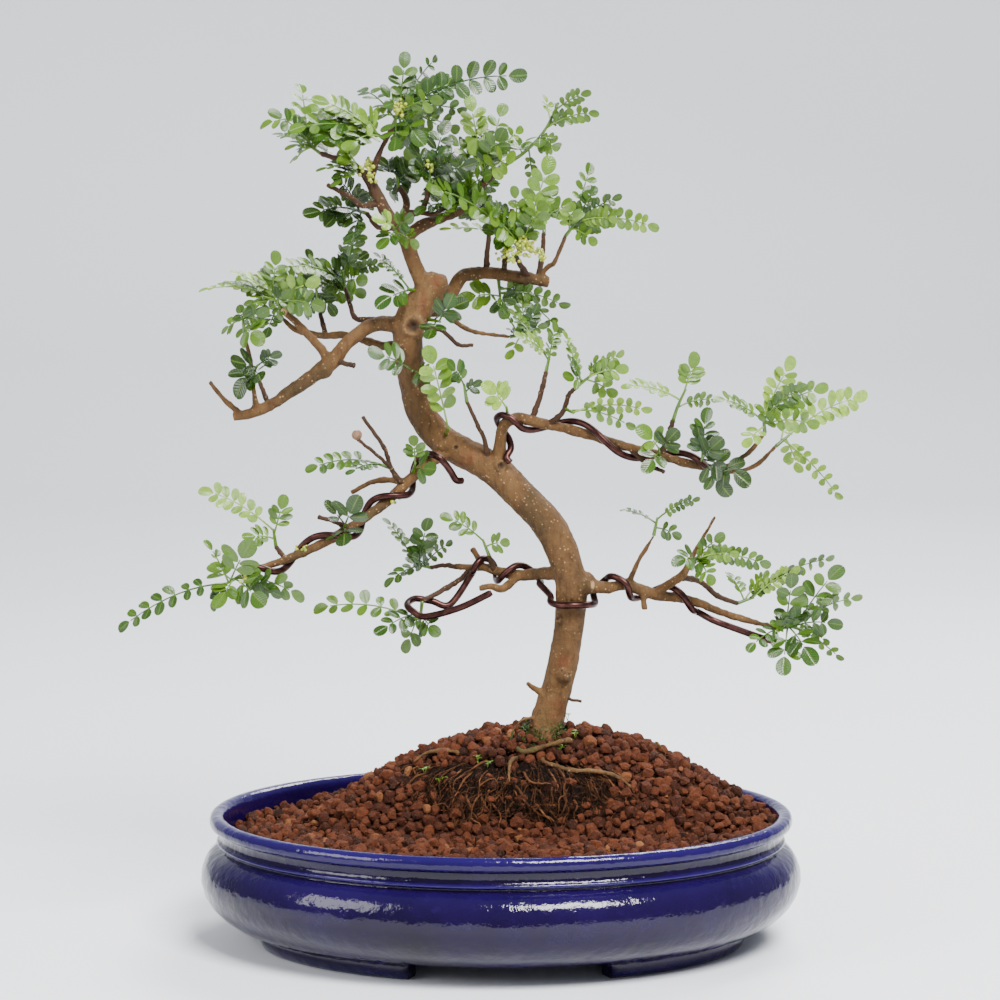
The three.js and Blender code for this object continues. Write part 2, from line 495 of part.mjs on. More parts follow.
// Leafy shoots. A shoot runs along its points [x, depth, z], and each leaf is given as
// [tip x, tip depth, tip z, leaflet pairs, leaflet length, turn of the blade in degrees];
// buds are young flower buds at [x, depth, z].
const sprays = {
  crown_top: {
    shoot: [[-45.8, -8, 351.6], [-43.5, -9, 357]],
    buds: [[-42.8, -10.4, 358.6], [-44.6, -9, 359.3], [-41.4, -8.8, 359.8]],
    leaves: [[-40.5, -12, 382, 3, 6.5, 15], [-27, 4, 380, 4, 4, 50], [11, -16, 371.5, 6, 7.5, 20],
      [-50.5, -15, 367, 1, 6, 30], [-25, -22, 361, 2, 6, 60], [-14, 6, 356.5, 4, 5, 55],
      [-33, -18, 342, 2, 8, 15], [-38, 5, 335, 3, 7, 25], [-23, 16, 348, 3, 6, 35],
      [-58, 6, 352, 3, 6, 20], [-45, -22, 339, 2, 7.5, 15], [-17, 12, 348, 3, 5.5, 30], [-33, 8, 352, 2, 7, 20],
      [-60, 18, 366, 3, 6.5, 20], [-19, 20, 369, 3, 6.5, 25]],
  },
  crown_left: {
    shoot: [[-49.5, -9, 345.5], [-53, -13, 348]],
    leaves: [[-80, -18, 362, 5, 7.5, 30], [-84, -13, 354.5, 5, 7, 45], [-103, 3, 351, 6, 6, 30],
      [-82, -24, 345, 3, 8, 20], [-60, -28, 355, 2, 8, 15],
      [-70, 8, 349, 3, 7, 20], [-77, -24, 351, 3, 7, 25], [-71, -7, 337, 3, 6, 30],
      [-90, -30, 349, 3, 7, 20], [-66, -36, 341, 2, 7.5, 15]],
  },
  left_twig: {
    shoot: [[-76.7, -3, 339.5], [-79.5, -2, 341.5]],
    leaves: [[-91, -5, 341, 2, 6, 70], [-85, 16, 369, 3, 6.5, 24], [-97, 10, 347, 4, 5.5, 60],
      [-90, 6, 334.5, 3, 5, 65], [-66, 4, 350, 3, 7, 20],
      [-74, 10, 343, 2, 7, 25],
      [-98, -14, 357, 3, 6.5, 25]],
  },
  left_middle: {
    shoot: [[-58.5, -9, 331.8], [-61, -13, 334.5]],
    leaves: [[-69, -20, 344, 3, 7, 20], [-79, -16, 331, 3, 5, 60], [-72, -24, 324.5, 3, 5.5, 40]],
  },
  dark_row: {
    shoot: [[-57, 4, 314], [-60, 5, 315]],
    leaves: [[-84.5, 0, 311.5, 5, 7.5, 15], [-67, -3, 308, 1, 7, 10], [-52, 10, 323, 2, 6, 20],
      [-70, -14, 329, 5, 6.5, 15], [-65, -8, 295.5, 4, 5, 40]],
  },
  grey_top: {
    shoot: [[-43.5, 5, 325], [-44, 7, 328]],
    leaves: [[-38, 14, 336, 2, 6, 20], [-53, 10, 337, 3, 6.5, 25], [-34, 14, 327, 3, 5.5, 40],
      [-47, 20, 318, 3, 6.5, 25],
      [-33, 12, 337, 3, 7, 20]],
  },
  grey_side: {
    shoot: [[-30.8, -9, 325.5], [-30.5, -10, 329]],
    leaves: [[-21, -3, 341, 4, 5, 45], [-18, -21, 335, 3, 5, 60], [-23, -9, 353, 3, 6.5, 15],
      [-38, -18, 331, 2, 6.5, 30], [-38, -15, 343, 3, 6, 20],
      [-12, 16, 343, 3, 5, 35], [-27, 4, 318, 3, 6, 25],
      [-10, -12, 334, 3, 6.5, 20]],
  },
  fork_middle: {
    shoot: [[-19.5, 2, 315], [-19, -3, 318.5]],
    leaves: [[-31, -22, 323, 3, 8, 10], [-15, -8, 334, 3, 6.5, 25], [-27, -20, 309, 4, 5, 40],
      [-6, -14, 319, 2, 7, 20],
      [-37, -14, 314, 3, 6, 25], [-10, 4, 326, 3, 6, 25],
      [-28, 10, 331, 3, 7, 20], [-15, -16, 325, 2, 7, 15],
      [-5, -28, 330, 3, 6.5, 20]],
  },
  fork_upright: {
    shoot: [[-6.5, 8, 327], [-7.5, 4, 331]],
    leaves: [[-13.5, 2, 364, 5, 7, 15], [1.5, -8, 349, 3, 7, 15], [9, 16, 350, 5, 4.5, 35],
      [-13, -6, 344, 2, 8, 10], [-25, 6, 330, 4, 5, 30],
      [6, -14, 337, 2, 7, 15], [-22, 0, 346, 3, 6, 25], [-4, 18, 321, 3, 6, 30],
      [1, 20, 360, 3, 6.5, 20]],
  },
  fork_end: {
    shoot: [[0.8, 10, 333.9], [10, 8, 340], [18.5, 6, 349], [24.5, 5, 361]],
    leaves: [[38, 2, 365, 4, 4.5, 65], [18.5, 8, 364.5, 2, 4, 60], [41.5, -4, 356, 5, 4.5, 60],
      [16.5, -6, 341.5, 1, 7, 10], [26, 16, 340, 3, 5.5, 30], [14, 14, 325, 3, 4, 50],
      [6, 14, 345, 2, 6.5, 20]],
  },
  fork_base: {
    shoot: [[-43, -8, 304], [-45.5, -12, 308]],
    leaves: [[-53, -17, 311, 3, 6, 20], [-37, -20, 311, 3, 6, 15], [-52, -16, 298, 2, 6.5, 20],
      [-35, -17, 299, 3, 5, 30]],
  },
  bright_upright: {
    shoot: [[6, 10, 296.1], [9, 6, 300]],
    buds: [[10.6, 4, 300.2], [9.2, 4.2, 302], [11.6, 5, 302.4], [8, 4.6, 299.6]],
    leaves: [[21.5, 2, 337.5, 5, 8, 10], [-26, -8, 307, 5, 5, 50], [-5, -14, 312, 3, 8.5, 10],
      [9, 12, 318, 4, 4.5, 35],
      [-29, -38, 324, 5, 7, 12], [6, -4, 325, 3, 5.5, 30],
      [19, -12, 318, 3, 6.5, 25]],
  },
  right_long: {
    shoot: [[27.6, 18, 304.6], [29.5, 17, 307]],
    leaves: [[67.8, 10, 307, 7, 5, 35], [51.3, 14, 321, 6, 4.5, 55], [38.6, 24, 334.7, 4, 5.5, 25],
      [41, 8, 300, 2, 5, 30],
      [47, 22, 309, 4, 5.5, 25], [30, 6, 318, 3, 6, 20]],
  },
  right_back: {
    shoot: [[18.3, 35, 305.4], [18.5, 36, 308]],
    leaves: [[31, 40, 318, 3, 6, 20], [4, 40, 319, 4, 4.5, 35], [23, 46, 325, 3, 5.5, 25]],
  },
  right_low: {
    shoot: [[-4.7, 22, 308.4], [-5, 23, 311]],
    leaves: [[-12, 26, 322, 3, 6, 20], [-18, 30, 311, 3, 6, 35], [4, 30, 316, 2, 5.5, 30]],
  },
  right_under: {
    shoot: [[-1, 22.5, 286], [-0.5, 22, 280.5]],
    leaves: [[-19, 20, 276, 3, 8, 15], [29.8, 26, 273, 5, 5, 50], [13, 32, 280, 3, 5, 40],
      [27, 38, 262, 4, 4.5, 45]],
  },
  back_right: {
    shoot: [[3.8, 19, 261.6], [6.5, 19, 262]],
    leaves: [[8, 26, 280, 4, 5.5, 30], [16, 14, 275, 4, 5, 40], [3, 14, 251, 1, 5, 20],
      [-4, 12, 279, 4, 3.5, 60], [20, 22, 266, 4, 4.5, 50]],
  },
  trunk_right: {
    shoot: [[-31, -2, 269], [-26, -8, 268]],
    leaves: [[-20, -14, 278, 2, 7, 15], [-31, -16, 259, 2, 7, 10], [-14, -8, 276, 2, 7, 20]],
  },
  trunk_long: {
    shoot: [[-24, 5, 219], [-22.5, -6, 222.5]],
    leaves: [[-31, -18, 256.5, 5, 8, 10]],
  },
  trunk_twig: {
    shoot: [[-14.6, -12, 233.6], [-15, -12.5, 236]],
    leaves: [[-22, -24, 250, 4, 6, 30], [-8, -14, 242, 2, 4.5, 40]],
  },
  trunk_left: {
    shoot: [[-37, 3, 247], [-38, -6.5, 247]],
    leaves: [[-57, -12, 254, 3, 7.5, 10], [-30, -12, 241, 2, 6, 15]],
  },
  trunk_shoulder: {
    shoot: [[-34, -1, 281], [-39.5, -6, 282]],
    leaves: [[-54, -8, 297, 6, 4, 65], [-54, -13, 273.5, 3, 8, 15]],
  },
  left_cluster: {
    shoot: [[-66.8, 14, 282.5], [-67, 13, 285]],
    leaves: [[-59.5, 4, 309.5, 4, 5.5, 30], [-68.5, 12, 301, 5, 3.5, 70], [-57, 18, 297, 3, 5.5, 30],
      [-49, 12, 292, 5, 4, 65], [-78, 6, 291, 2, 7.5, 15], [-76, 4, 279, 3, 6, 20],
      [-95, -16, 290, 6, 6, 20], [-58, 0, 284, 3, 7, 20]],
  },
  left_cluster_back: {
    shoot: [[-78, 30, 277], [-78.5, 31, 279.5]],
    leaves: [[-82, 34, 299, 4, 5, 30], [-92, 36, 284, 3, 6.5, 20], [-66, 34, 288, 3, 6.5, 20],
      [-84, 42, 268, 3, 6, 30], [-70, 30, 270, 2, 6, 25],
      [-57, 36, 279, 3, 6, 25]],
  },
  left_stub: {
    shoot: [[-93.8, -4, 273.5], [-96, -4, 276.5]],
    leaves: [[-95.5, -6, 298, 4, 6, 20], [-115, -11, 289, 4, 5, 50], [-129.5, -4, 281, 6, 4.5, 60],
      [-113, 6, 286, 3, 6, 20], [-111, -15, 272, 4, 4.5, 60], [-78, -13, 284, 3, 6.5, 30],
      [-83, -1, 292, 3, 6, 40],
      [-75, -16, 273, 3, 7, 20], [-114, -2, 260.5, 4, 5, 40]],
  },
  back_left_tip: {
    shoot: [[-93.5, 28, 269.5], [-95, 28.5, 271.5]],
    leaves: [[-84, 18, 275, 3, 7, 15], [-101, 30, 291, 4, 5.5, 25], [-101, 18, 260, 3, 6, 20],
      [-110, 36, 275, 3, 6, 30]],
  },
  left_upright: {
    shoot: [[-109.7, -25, 262.5], [-110, -26, 265]],
    leaves: [[-120, -20, 262, 3, 5, 40], [-99, -32, 271, 3, 6, 40], [-112, -36, 274, 3, 5, 25],
      [-103, -34, 258.5, 2, 8, 10]],
  },
  left_upright_low: {
    shoot: [[-106.5, -23.4, 245.6], [-105, -28, 248.2]],
    leaves: [[-94, -30, 254, 4, 5, 40], [-114, -35, 249, 2, 8, 10], [-113, -28, 238, 1, 9, 15],
      [-103, -37, 242, 2, 8, 10]],
  },
  right_twig: {
    shoot: [[19.3, 3, 246.3], [20, 3.5, 249.5]],
    leaves: [[6, -4, 262, 5, 5, 35], [3.5, 8, 273, 7, 5, 50], [24, 8, 268, 5, 5, 45]],
  },
  right_twig_low: {
    shoot: [[32.5, -17, 240.2], [34.8, -17, 242]],
    leaves: [[53, -13, 254.5, 4, 4.5, 55], [54.5, -23, 247, 3, 5.5, 25], [50, -12, 235, 2, 5.5, 30],
      [26.5, -24, 243, 1, 6, 10], [27, -16, 264, 6, 4, 55]],
  },
  right_side: {
    shoot: [[27.3, -12.5, 231], [30, -17, 229.5]],
    leaves: [[65, -22, 229, 6, 4.5, 50], [58, -28, 221.5, 4, 4.5, 45]],
  },
  right_bend: {
    shoot: [[3.5, -4.2, 225], [2.5, -7.5, 230.5]],
    leaves: [[-7, -15, 241, 3, 7.5, 10]],
  },
  right_bright: {
    shoot: [[73.9, -19, 225.5], [76, -20, 232], [78.3, -21, 237]],
    leaves: [[84, -23, 254.5, 4, 7, 30], [52, -30, 240, 6, 5, 40], [94, -14, 234, 4, 4, 55]],
  },
  right_olive: {
    shoot: [[68.3, -14, 210.6], [68, -19.5, 213]],
    leaves: [[61, -25, 221, 2, 8, 10], [76, -27, 220, 2, 7.5, 15], [62, -27, 202.5, 2, 7.5, 10]],
  },
  right_dark: {
    shoot: [[86, -17.5, 207.5], [87, -25, 210.5]],
    leaves: [[84.5, -25, 223, 3, 6.5, 19], [95, -31, 216, 2, 7.5, 14], [98, -27, 191.5, 2, 8.2, 18],
      [108, -31, 197, 2, 8.5, 13], [88, -15, 231, 4, 7, 24]],
  },
  right_end_up: {
    shoot: [[113.4, -24, 220.4], [113, -25, 224]],
    leaves: [[125.5, -26, 252, 5, 6.5, 20], [140, -30, 239.5, 5, 6, 25], [91.5, -36, 235, 5, 5.5, 40],
      [137, -36, 222.5, 4, 5.5, 30], [104, -34, 213, 2, 6, 30]],
  },
  right_end_low: {
    shoot: [[118.1, -3, 214.5], [120.5, -2, 216.5]],
    leaves: [[157, 2, 236, 6, 6.5, 25], [129, 5, 202, 3, 5.5, 40], [147, -8, 190.5, 6, 4, 40],
      [124, 10, 231, 3, 6, 30]],
  },
  middle_left_base: {
    shoot: [[-38, -4.5, 202.5], [-37, -9.5, 206.5]],
    leaves: [[-37.5, -16, 219, 3, 5.5, 15], [-29, -16, 202.5, 1, 8, 10]],
  },
  middle_left_pale: {
    shoot: [[-47.3, -12, 205.1], [-50, -13, 206]],
    leaves: [[-84.7, -18, 203.5, 5, 5.5, 25], [-66.5, -28, 202, 4, 4.5, 40]],
  },
  middle_left_dark: {
    shoot: [[-68, -17, 178], [-67, -22.5, 181]],
    leaves: [[-63, -29, 188.5, 1, 9, 10], [-76, -26, 189.5, 1, 7, 40], [-67.5, -30, 171.5, 1, 9, 15]],
  },
  middle_left_up: {
    shoot: [[-97, -20, 171], [-97.5, -20, 174.5]],
    leaves: [[-129.5, -22, 195.6, 6, 6, 20], [-93, -22, 193, 3, 6, 15], [-111.5, -26, 174, 3, 5.5, 25]],
  },
  middle_left_tip: {
    shoot: [[-112.2, -30, 158.6], [-116, -31, 156.5]],
    leaves: [[-166.8, -30, 133.7, 6, 6, 25], [-127, -36, 173.5, 2, 5, 60], [-108, -42, 172, 2, 9.5, 10],
      [-126, -24, 162, 1, 8, 20], [-123, -38, 143, 2, 8, 20], [-102, -44, 143, 2, 9, 10],
      [-84, -36, 147.5, 4, 6.5, 40]],
  },
  lower_left_up: {
    shoot: [[-5, 11, 167], [-6, 10.5, 169.5]],
    leaves: [[-25.8, 6, 184.3, 4, 6, 25], [4, 4, 172, 2, 5, 20]],
  },
  lower_left_end: {
    shoot: [[-30, 25, 162], [-32.5, 26, 162.5]],
    leaves: [[-50, 30, 183.4, 5, 4.5, 50], [-31.5, 18, 182.6, 3, 6.5, 20], [-51, 20, 153.5, 3, 5.5, 40],
      [-21, 34, 173, 3, 4, 40], [-38, 14, 166, 2, 6.5, 15]],
  },
  lower_left_low: {
    shoot: [[-34, 3, 147.5], [-35, 4.5, 138]],
    leaves: [[-81.5, 6, 143.5, 5, 6.5, 21], [-27.5, -6, 131, 3, 6.5, 15], [-55, -4, 131.5, 3, 6.5, 20],
      [-42, 8, 124, 2, 6.5, 25]],
  },
  lower_right_up: {
    shoot: [[65.9, -11, 176], [66.5, -11.5, 179]],
    leaves: [[85.6, -12, 191.7, 6, 3.5, 70], [51.3, -10, 187, 4, 3, 65], [78, -16, 174, 2, 4.5, 25]],
  },
  lower_right_fork: {
    shoot: [[82.6, -8, 165.5], [85, -12.5, 166]],
    leaves: [[117, -16, 162, 7, 5, 30], [74, -20, 163, 2, 6.5, 10], [92, -22, 153.5, 3, 5.5, 20],
      [96, -20, 175, 3, 5.5, 15]],
  },
  lower_right_back: {
    shoot: [[102.1, 17, 146.5], [105, 18, 147.5]],
    leaves: [[129, 18, 161, 6, 5, 40], [144, 28, 166, 6, 4.5, 60], [98, 30, 160, 4, 5, 40]],
  },
  lower_right_tip: {
    shoot: [[120.3, 6, 135.5], [124.5, 6, 136]],
    leaves: [[146.5, 2, 162, 3, 8, 15], [156, 8, 149, 4, 5, 60], [147.8, -2, 136, 3, 6.5, 25],
      [148.6, 9, 120.6, 4, 4, 60], [136, -8, 118.5, 2, 9, 10], [122, -6, 113.5, 2, 8.5, 10],
      [126, -4, 159, 3, 7.5, 15], [106, -8, 125, 3, 5.5, 20]],
  },
};

// A feathered leaf: a thin arched rib with its leaflets in pairs and one at the tip.
function leaf(base, tip, pairsSeen, size, turn) {
  const most = size < smallLeaflet ? 1 : size < largeLeaflet ? 2 : 3;
  const pairs = Math.min(pairsSeen, most);
  const span = new THREE.Vector3().subVectors(tip, base);
  const rise = 4 * leafArch * Math.hypot(span.x, span.y);
  const lastShare = Math.max(1 - (1.1 * size) / span.length(), petioleShare + 0.2);
  const positions = [];
  const triangles = [];
  const both = (s, a, b, c, below) => triangles.push(s > 0 ? [a, b, c] : [a, c, b],
    s > 0 ? [below(a), below(c), below(b)] : [below(a), below(b), below(c)]);
  const stations = [0];
  for (let i = 0; i <= pairs; i++) {
    stations.push(THREE.MathUtils.lerp(petioleShare, lastShare, i / pairs));
  }
  const frames = stations.map((t) => {
    const centre = base.clone().addScaledVector(span, t);
    centre.z += rise * t * (1 - t);
    const along = span.clone();
    along.z += rise * (1 - 2 * t);
    along.normalize();
    const flat = new THREE.Vector3(0, -1, 0.35);
    flat.addScaledVector(along, -flat.dot(along)).normalize();
    const face = flat.clone().applyAxisAngle(along, THREE.MathUtils.degToRad(turn));
    const side = new THREE.Vector3().crossVectors(along, face);
    return { centre, along, face, side };
  });
  for (const { centre, face, side } of frames) {
    positions.push(
      centre.clone().addScaledVector(face, ribHalfThickness),
      centre.clone().addScaledVector(side, ribHalfWidth),
      centre.clone().addScaledVector(face, -ribHalfThickness),
      centre.clone().addScaledVector(side, -ribHalfWidth),
    );
  }
  const ribEnd = positions.length;
  const below = (i) => (i < ribEnd && i % 4 === 0 ? i + 2 : i);
  for (let k = 0; k < 4; k++) {
    const next = (k + 1) % 4;
    triangles.push([k, next, next + 4], [k, next + 4, k + 4]);
  }
  triangles.push([0, 3, 2], [0, 2, 1]);
  const tilt = THREE.MathUtils.degToRad(leafletTilt);
  const spacing = (span.length() * (lastShare - petioleShare)) / pairs;
  const halfWidth = Math.min(0.36 * size, 0.43 * spacing);
  for (let i = 1; i <= pairs; i++) {
    const { centre, along, face, side } = frames[i];
    const middle = centre.clone().lerp(frames[i + 1].centre, 0.45);
    for (const s of [1, -1]) {
      const out = along.clone().multiplyScalar(Math.cos(tilt)).addScaledVector(side, s * Math.sin(tilt))
        .addScaledVector(face, 0.12);
      const ahead = along.clone().multiplyScalar(Math.sin(tilt)).addScaledVector(side, -s * Math.cos(tilt));
      const belly = middle.clone().addScaledVector(out, 0.55 * size);
      const end = positions.push(middle.clone().addScaledVector(out, size)) - 1;
      const [rib, nextRib] = [4 * i, 4 * i + 4];
      const edge = s > 0 ? rib + 1 : rib + 3;
      const nextEdge = edge + 4;
      if (size < broadLeaflet) {
        both(s, rib, edge, end, below);
        both(s, rib, end, nextRib, below);
        both(s, nextRib, end, nextEdge, below);
        continue;
      }
      const near = positions.push(belly.clone().addScaledVector(ahead, -halfWidth)) - 1;
      const far = positions.push(belly.clone().addScaledVector(ahead, halfWidth)) - 1;
      both(s, rib, edge, near, below);
      both(s, rib, near, end, below);
      both(s, rib, end, nextRib, below);
      both(s, nextRib, end, far, below);
      both(s, nextRib, far, nextEdge, below);
    }
  }
  const { centre, along, face, side } = frames[frames.length - 1];
  const end = positions.push(centre.clone().addScaledVector(along, 1.1 * size)) - 1;
  const rib = 4 * (frames.length - 1);
  if (size < broadLeaflet) {
    both(1, rib, rib + 1, end, below);
    both(1, rib, end, rib + 3, below);
    return solidFrom(positions, triangles);
  }
  const belly = centre.clone().addScaledVector(along, 0.55 * size);
  const right = positions.push(belly.clone().addScaledVector(side, 0.36 * size)) - 1;
  const left = positions.push(belly.clone().addScaledVector(side, -0.36 * size)) - 1;
  both(1, rib, rib + 1, right, below);
  both(1, rib, right, end, below);
  both(1, rib, end, left, below);
  both(1, rib, left, rib + 3, below);
  return solidFrom(positions, triangles);
}

function makeSpray({ shoot, leaves, buds = [] }) {
  const points = shoot.map((p) => [...p, shootRadius]);
  const [before, last] = points.slice(-2);
  const stretch = Math.max(0, shootLength / Math.hypot(...last.map((v, i) => v - before[i])) - 1);
  points[points.length - 1] = last.map((v, i) => v + (v - before[i]) * stretch);
  const stem = new THREE.CatmullRomCurve3(points.map(([x, y, z]) => seen(x, y, z)), false, "catmullrom", 0.5);
  const parts = [limb(points, 4, points.length - 1, 0)];
  for (const at of buds) parts.push(lump(at, budRadius));
  leaves.forEach(([x, y, z, pairs, size, turn], i) => {
    const tip = seen(x, y, z);
    const node = stem.getPoint(0.9 - (0.7 * i) / leaves.length);
    const towards = new THREE.Vector3().subVectors(tip, node).setLength(0.35 * shootRadius);
    parts.push(leaf(node.add(towards), tip, pairs, size, turn));
  });
  return joined(parts);
}

place("pot", makePot(), materials.glaze);
place("drain_screen_left", makeScreen(-drainAt), materials.screen);
place("drain_screen_right", makeScreen(drainAt), materials.screen);
const huskAt = [-61.9, -24.5, 219.4];
const wireRooms = Object.entries(wires).map(([name, steps]) => makeWire(name, steps, fitGap));
const tree = makeTree(0).simplify(slack);
const treeRoom = makeTree(fitGap);
const ball = makeRootBall(0).subtract(treeRoom);
place("soil_granules", mainBody(makeSoil().subtract(makeRootBall(fitGap)).subtract(treeRoom)), materials.granules);
place("root_ball", mainBody(ball), materials.rootMass);
place("tree", tree, materials.bark);
for (const [name, steps] of Object.entries(wires)) place(name, makeWire(name, steps, 0), materials.wire);

for (const [name, spray] of Object.entries(sprays)) {
  const cut = [treeRoom, ...wireRooms].reduce((solid, room) => solid.subtract(room), makeSpray(spray));
  place("leaves_" + name, mainBody(cut.simplify(slack)), materials.matureLeaf);
}
place("berry_husk", lump(huskAt, huskRadius).subtract(treeRoom), materials.husk);

// The finished group stands with the middle of its box over the origin.
const middle = new THREE.Box3().setFromObject(group).getCenter(new THREE.Vector3());
for (const piece of group.children) piece.geometry.translate(-middle.x, -middle.y, 0);

export default group;
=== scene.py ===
import math
import random

import bmesh
import bpy
import numpy as np
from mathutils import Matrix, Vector, noise


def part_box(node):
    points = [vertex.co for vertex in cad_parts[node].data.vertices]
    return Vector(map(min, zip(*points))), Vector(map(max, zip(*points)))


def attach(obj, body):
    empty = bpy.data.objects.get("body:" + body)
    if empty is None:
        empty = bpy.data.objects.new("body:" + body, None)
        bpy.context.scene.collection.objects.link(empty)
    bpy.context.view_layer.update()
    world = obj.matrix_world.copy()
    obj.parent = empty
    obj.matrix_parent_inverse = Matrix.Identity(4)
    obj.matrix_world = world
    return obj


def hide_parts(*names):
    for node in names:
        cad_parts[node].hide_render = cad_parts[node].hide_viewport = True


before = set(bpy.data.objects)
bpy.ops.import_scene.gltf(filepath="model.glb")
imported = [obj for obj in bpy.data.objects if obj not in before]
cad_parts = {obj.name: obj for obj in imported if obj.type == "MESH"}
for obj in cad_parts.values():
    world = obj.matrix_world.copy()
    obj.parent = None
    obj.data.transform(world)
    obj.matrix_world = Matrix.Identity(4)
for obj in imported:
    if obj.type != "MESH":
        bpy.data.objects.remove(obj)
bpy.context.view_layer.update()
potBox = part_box("pot")
potX = (potBox[0][0] + potBox[1][0]) / 2
print("frame loaded")

# Pieces are laid out on the picture plane as [x, depth, z] in mm, and moved along the line of sight.
eye = {"distance": 1200.0, "height": 309.0}


def seen(point):
    x, y, z = point[:3]
    scale = 1 + y / eye["distance"]
    height = eye["height"] + (z - eye["height"]) * scale
    return np.array([x * scale / 1000 + potX, y / 1000, height / 1000])


# The given number of points along a smooth curve through others.
def spline(points, count):
    p = np.array(points, float)
    p = np.vstack([2 * p[0] - p[1], p, 2 * p[-1] - p[-2]])
    t = np.linspace(0, len(points) - 1, count)
    i = np.minimum(t.astype(int), len(points) - 2)
    u = (t - i)[:, None]
    a, b, c, d = p[i], p[i + 1], p[i + 2], p[i + 3]
    m0, m1 = (c - a) / 2, (d - b) / 2
    return b + u * m0 + u**2 * (3 * (c - b) - 2 * m0 - m1) + u**3 * (2 * (b - c) + m0 + m1)


def unit(v):
    return v / np.linalg.norm(v)


# Angles round a closed ring.
def around(count):
    return np.linspace(0, 2 * math.pi, count, endpoint=False)


# Faces between rings of vertices that follow one another.
def bands(rings, count, start=0):
    faces = []
    for r in range(rings - 1):
        for k in range(count):
            a, b = start + r * count + k, start + r * count + (k + 1) % count
            faces.append((a, b, b + count, a + count))
    return faces


# Faces from the ring that starts at one vertex to a single tip.
def fan(start, count, tip):
    return [(start + k, start + (k + 1) % count, tip) for k in range(count)]


# Two faces that close the ends of such a stack of rings.
def lids(rings, count, start=0):
    last = start + (rings - 1) * count
    return [tuple(range(start + count - 1, start - 1, -1)), tuple(range(last, last + count))]


# Gathers vertices, faces and per-vertex values, and makes one mesh object of them.
class Pile:
    def __init__(self, *values):
        self.verts, self.faces, self.count = [], [], 0
        self.values = {name: [] for name in values}

    def add(self, verts, faces, **values):
        verts = np.asarray(verts, float)
        self.verts.append(verts)
        self.faces.extend([tuple(v + self.count for v in face) for face in faces])
        self.count += len(verts)
        for name, held in self.values.items():
            held.append(np.broadcast_to(np.asarray(values.get(name, 0.0), float), (len(verts),)))

    # Takes over a bmesh, sized and set at its centre.
    def addLump(self, lump, centre, size=1, **values):
        faces = [tuple(v.index for v in face.verts) for face in lump.faces]
        self.add([v.co * size + centre for v in lump.verts], faces, **values)
        lump.free()

    def build(self, name, material, smooth=True):
        mesh = bpy.data.meshes.new(name)
        mesh.from_pydata(np.vstack(self.verts).tolist(), [], self.faces)
        for label, held in self.values.items():
            storeValues(mesh, label, np.concatenate(held))
        mesh.polygons.foreach_set("use_smooth", [smooth] * len(mesh.polygons))
        mesh.materials.append(material)
        obj = bpy.data.objects.new(name, mesh)
        bpy.context.collection.objects.link(obj)
        return obj


def storeValues(mesh, name, values):
    mesh.attributes.new(name, "FLOAT", "POINT").data.foreach_set("value", values)


def roundLump(detail, radius):
    lump = bmesh.new()
    bmesh.ops.create_icosphere(lump, subdivisions=detail, radius=radius)
    return lump


# A round tube with closed ends, whose rings turn as little as they can.
def tubeMesh(path, radii, sides):
    along = np.gradient(path, axis=0)
    along /= np.linalg.norm(along, axis=1)[:, None]
    across = np.empty_like(path)
    last = np.array([0.0, 1.0, 0.0])
    for i, a in enumerate(along):
        last = unit(last - a * last.dot(a))
        across[i] = last
    other = np.cross(along, across)
    turn = around(sides)
    ring = np.cos(turn)[None, :, None] * across[:, None] + np.sin(turn)[None, :, None] * other[:, None]
    verts = (path[:, None] + np.asarray(radii)[:, None, None] * ring).reshape(-1, 3)
    return verts, bands(len(path), sides) + lids(len(path), sides)


# Path and radii in metres of a limb given as [x, depth, z, radius].
def limbPath(points, perPoint, grow=1.0):
    count = (len(points) - 1) * perPoint + 1
    share = np.linspace(0, len(points) - 1, count)
    radii = np.interp(share, range(len(points)), [p[3] / 1000 for p in points]) * grow
    return spline([seen(p) for p in points], count), radii


# The piece stands for its CAD nodes and rides on the one body.
def finish(obj, nodes):
    if nodes:
        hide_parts(*nodes)
    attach(obj, "root")


# The object with its modifiers worked into a plain mesh.
def applied(obj):
    graph = bpy.context.evaluated_depsgraph_get()
    mesh = bpy.data.meshes.new_from_object(obj.evaluated_get(graph))
    mesh.name = obj.name
    obj.modifiers.clear()
    obj.data = mesh
    return obj


# Materials
def newMaterial(name):
    material = bpy.data.materials.new(name)
    material.use_nodes = True
    tree = material.node_tree
    return material, tree, tree.nodes["Principled BSDF"], tree.nodes["Material Output"]


# Gives a socket a link, a number or a colour.
def feed(tree, socket, value):
    if isinstance(value, bpy.types.NodeSocket):
        tree.links.new(value, socket)
    elif isinstance(value, (int, float)):
        socket.default_value = value
    else:
        socket.default_value = (*value, 1)


def dress(tree, shader, colour, roughness, normal, specular=0.5):
    feed(tree, shader.inputs["Base Color"], colour)
    feed(tree, shader.inputs["Roughness"], roughness)
    feed(tree, shader.inputs["Specular IOR Level"], specular)
    feed(tree, shader.inputs["Normal"], normal)


def ramp(tree, factor, stops):
    node = tree.nodes.new("ShaderNodeValToRGB")
    elements = node.color_ramp.elements
    while len(elements) < len(stops):
        elements.new(0.5)
    for element, (at, colour) in zip(elements, stops):
        element.position = at
        element.color = (*colour, 1)
    tree.links.new(factor, node.inputs["Fac"])
    return node.outputs["Color"]


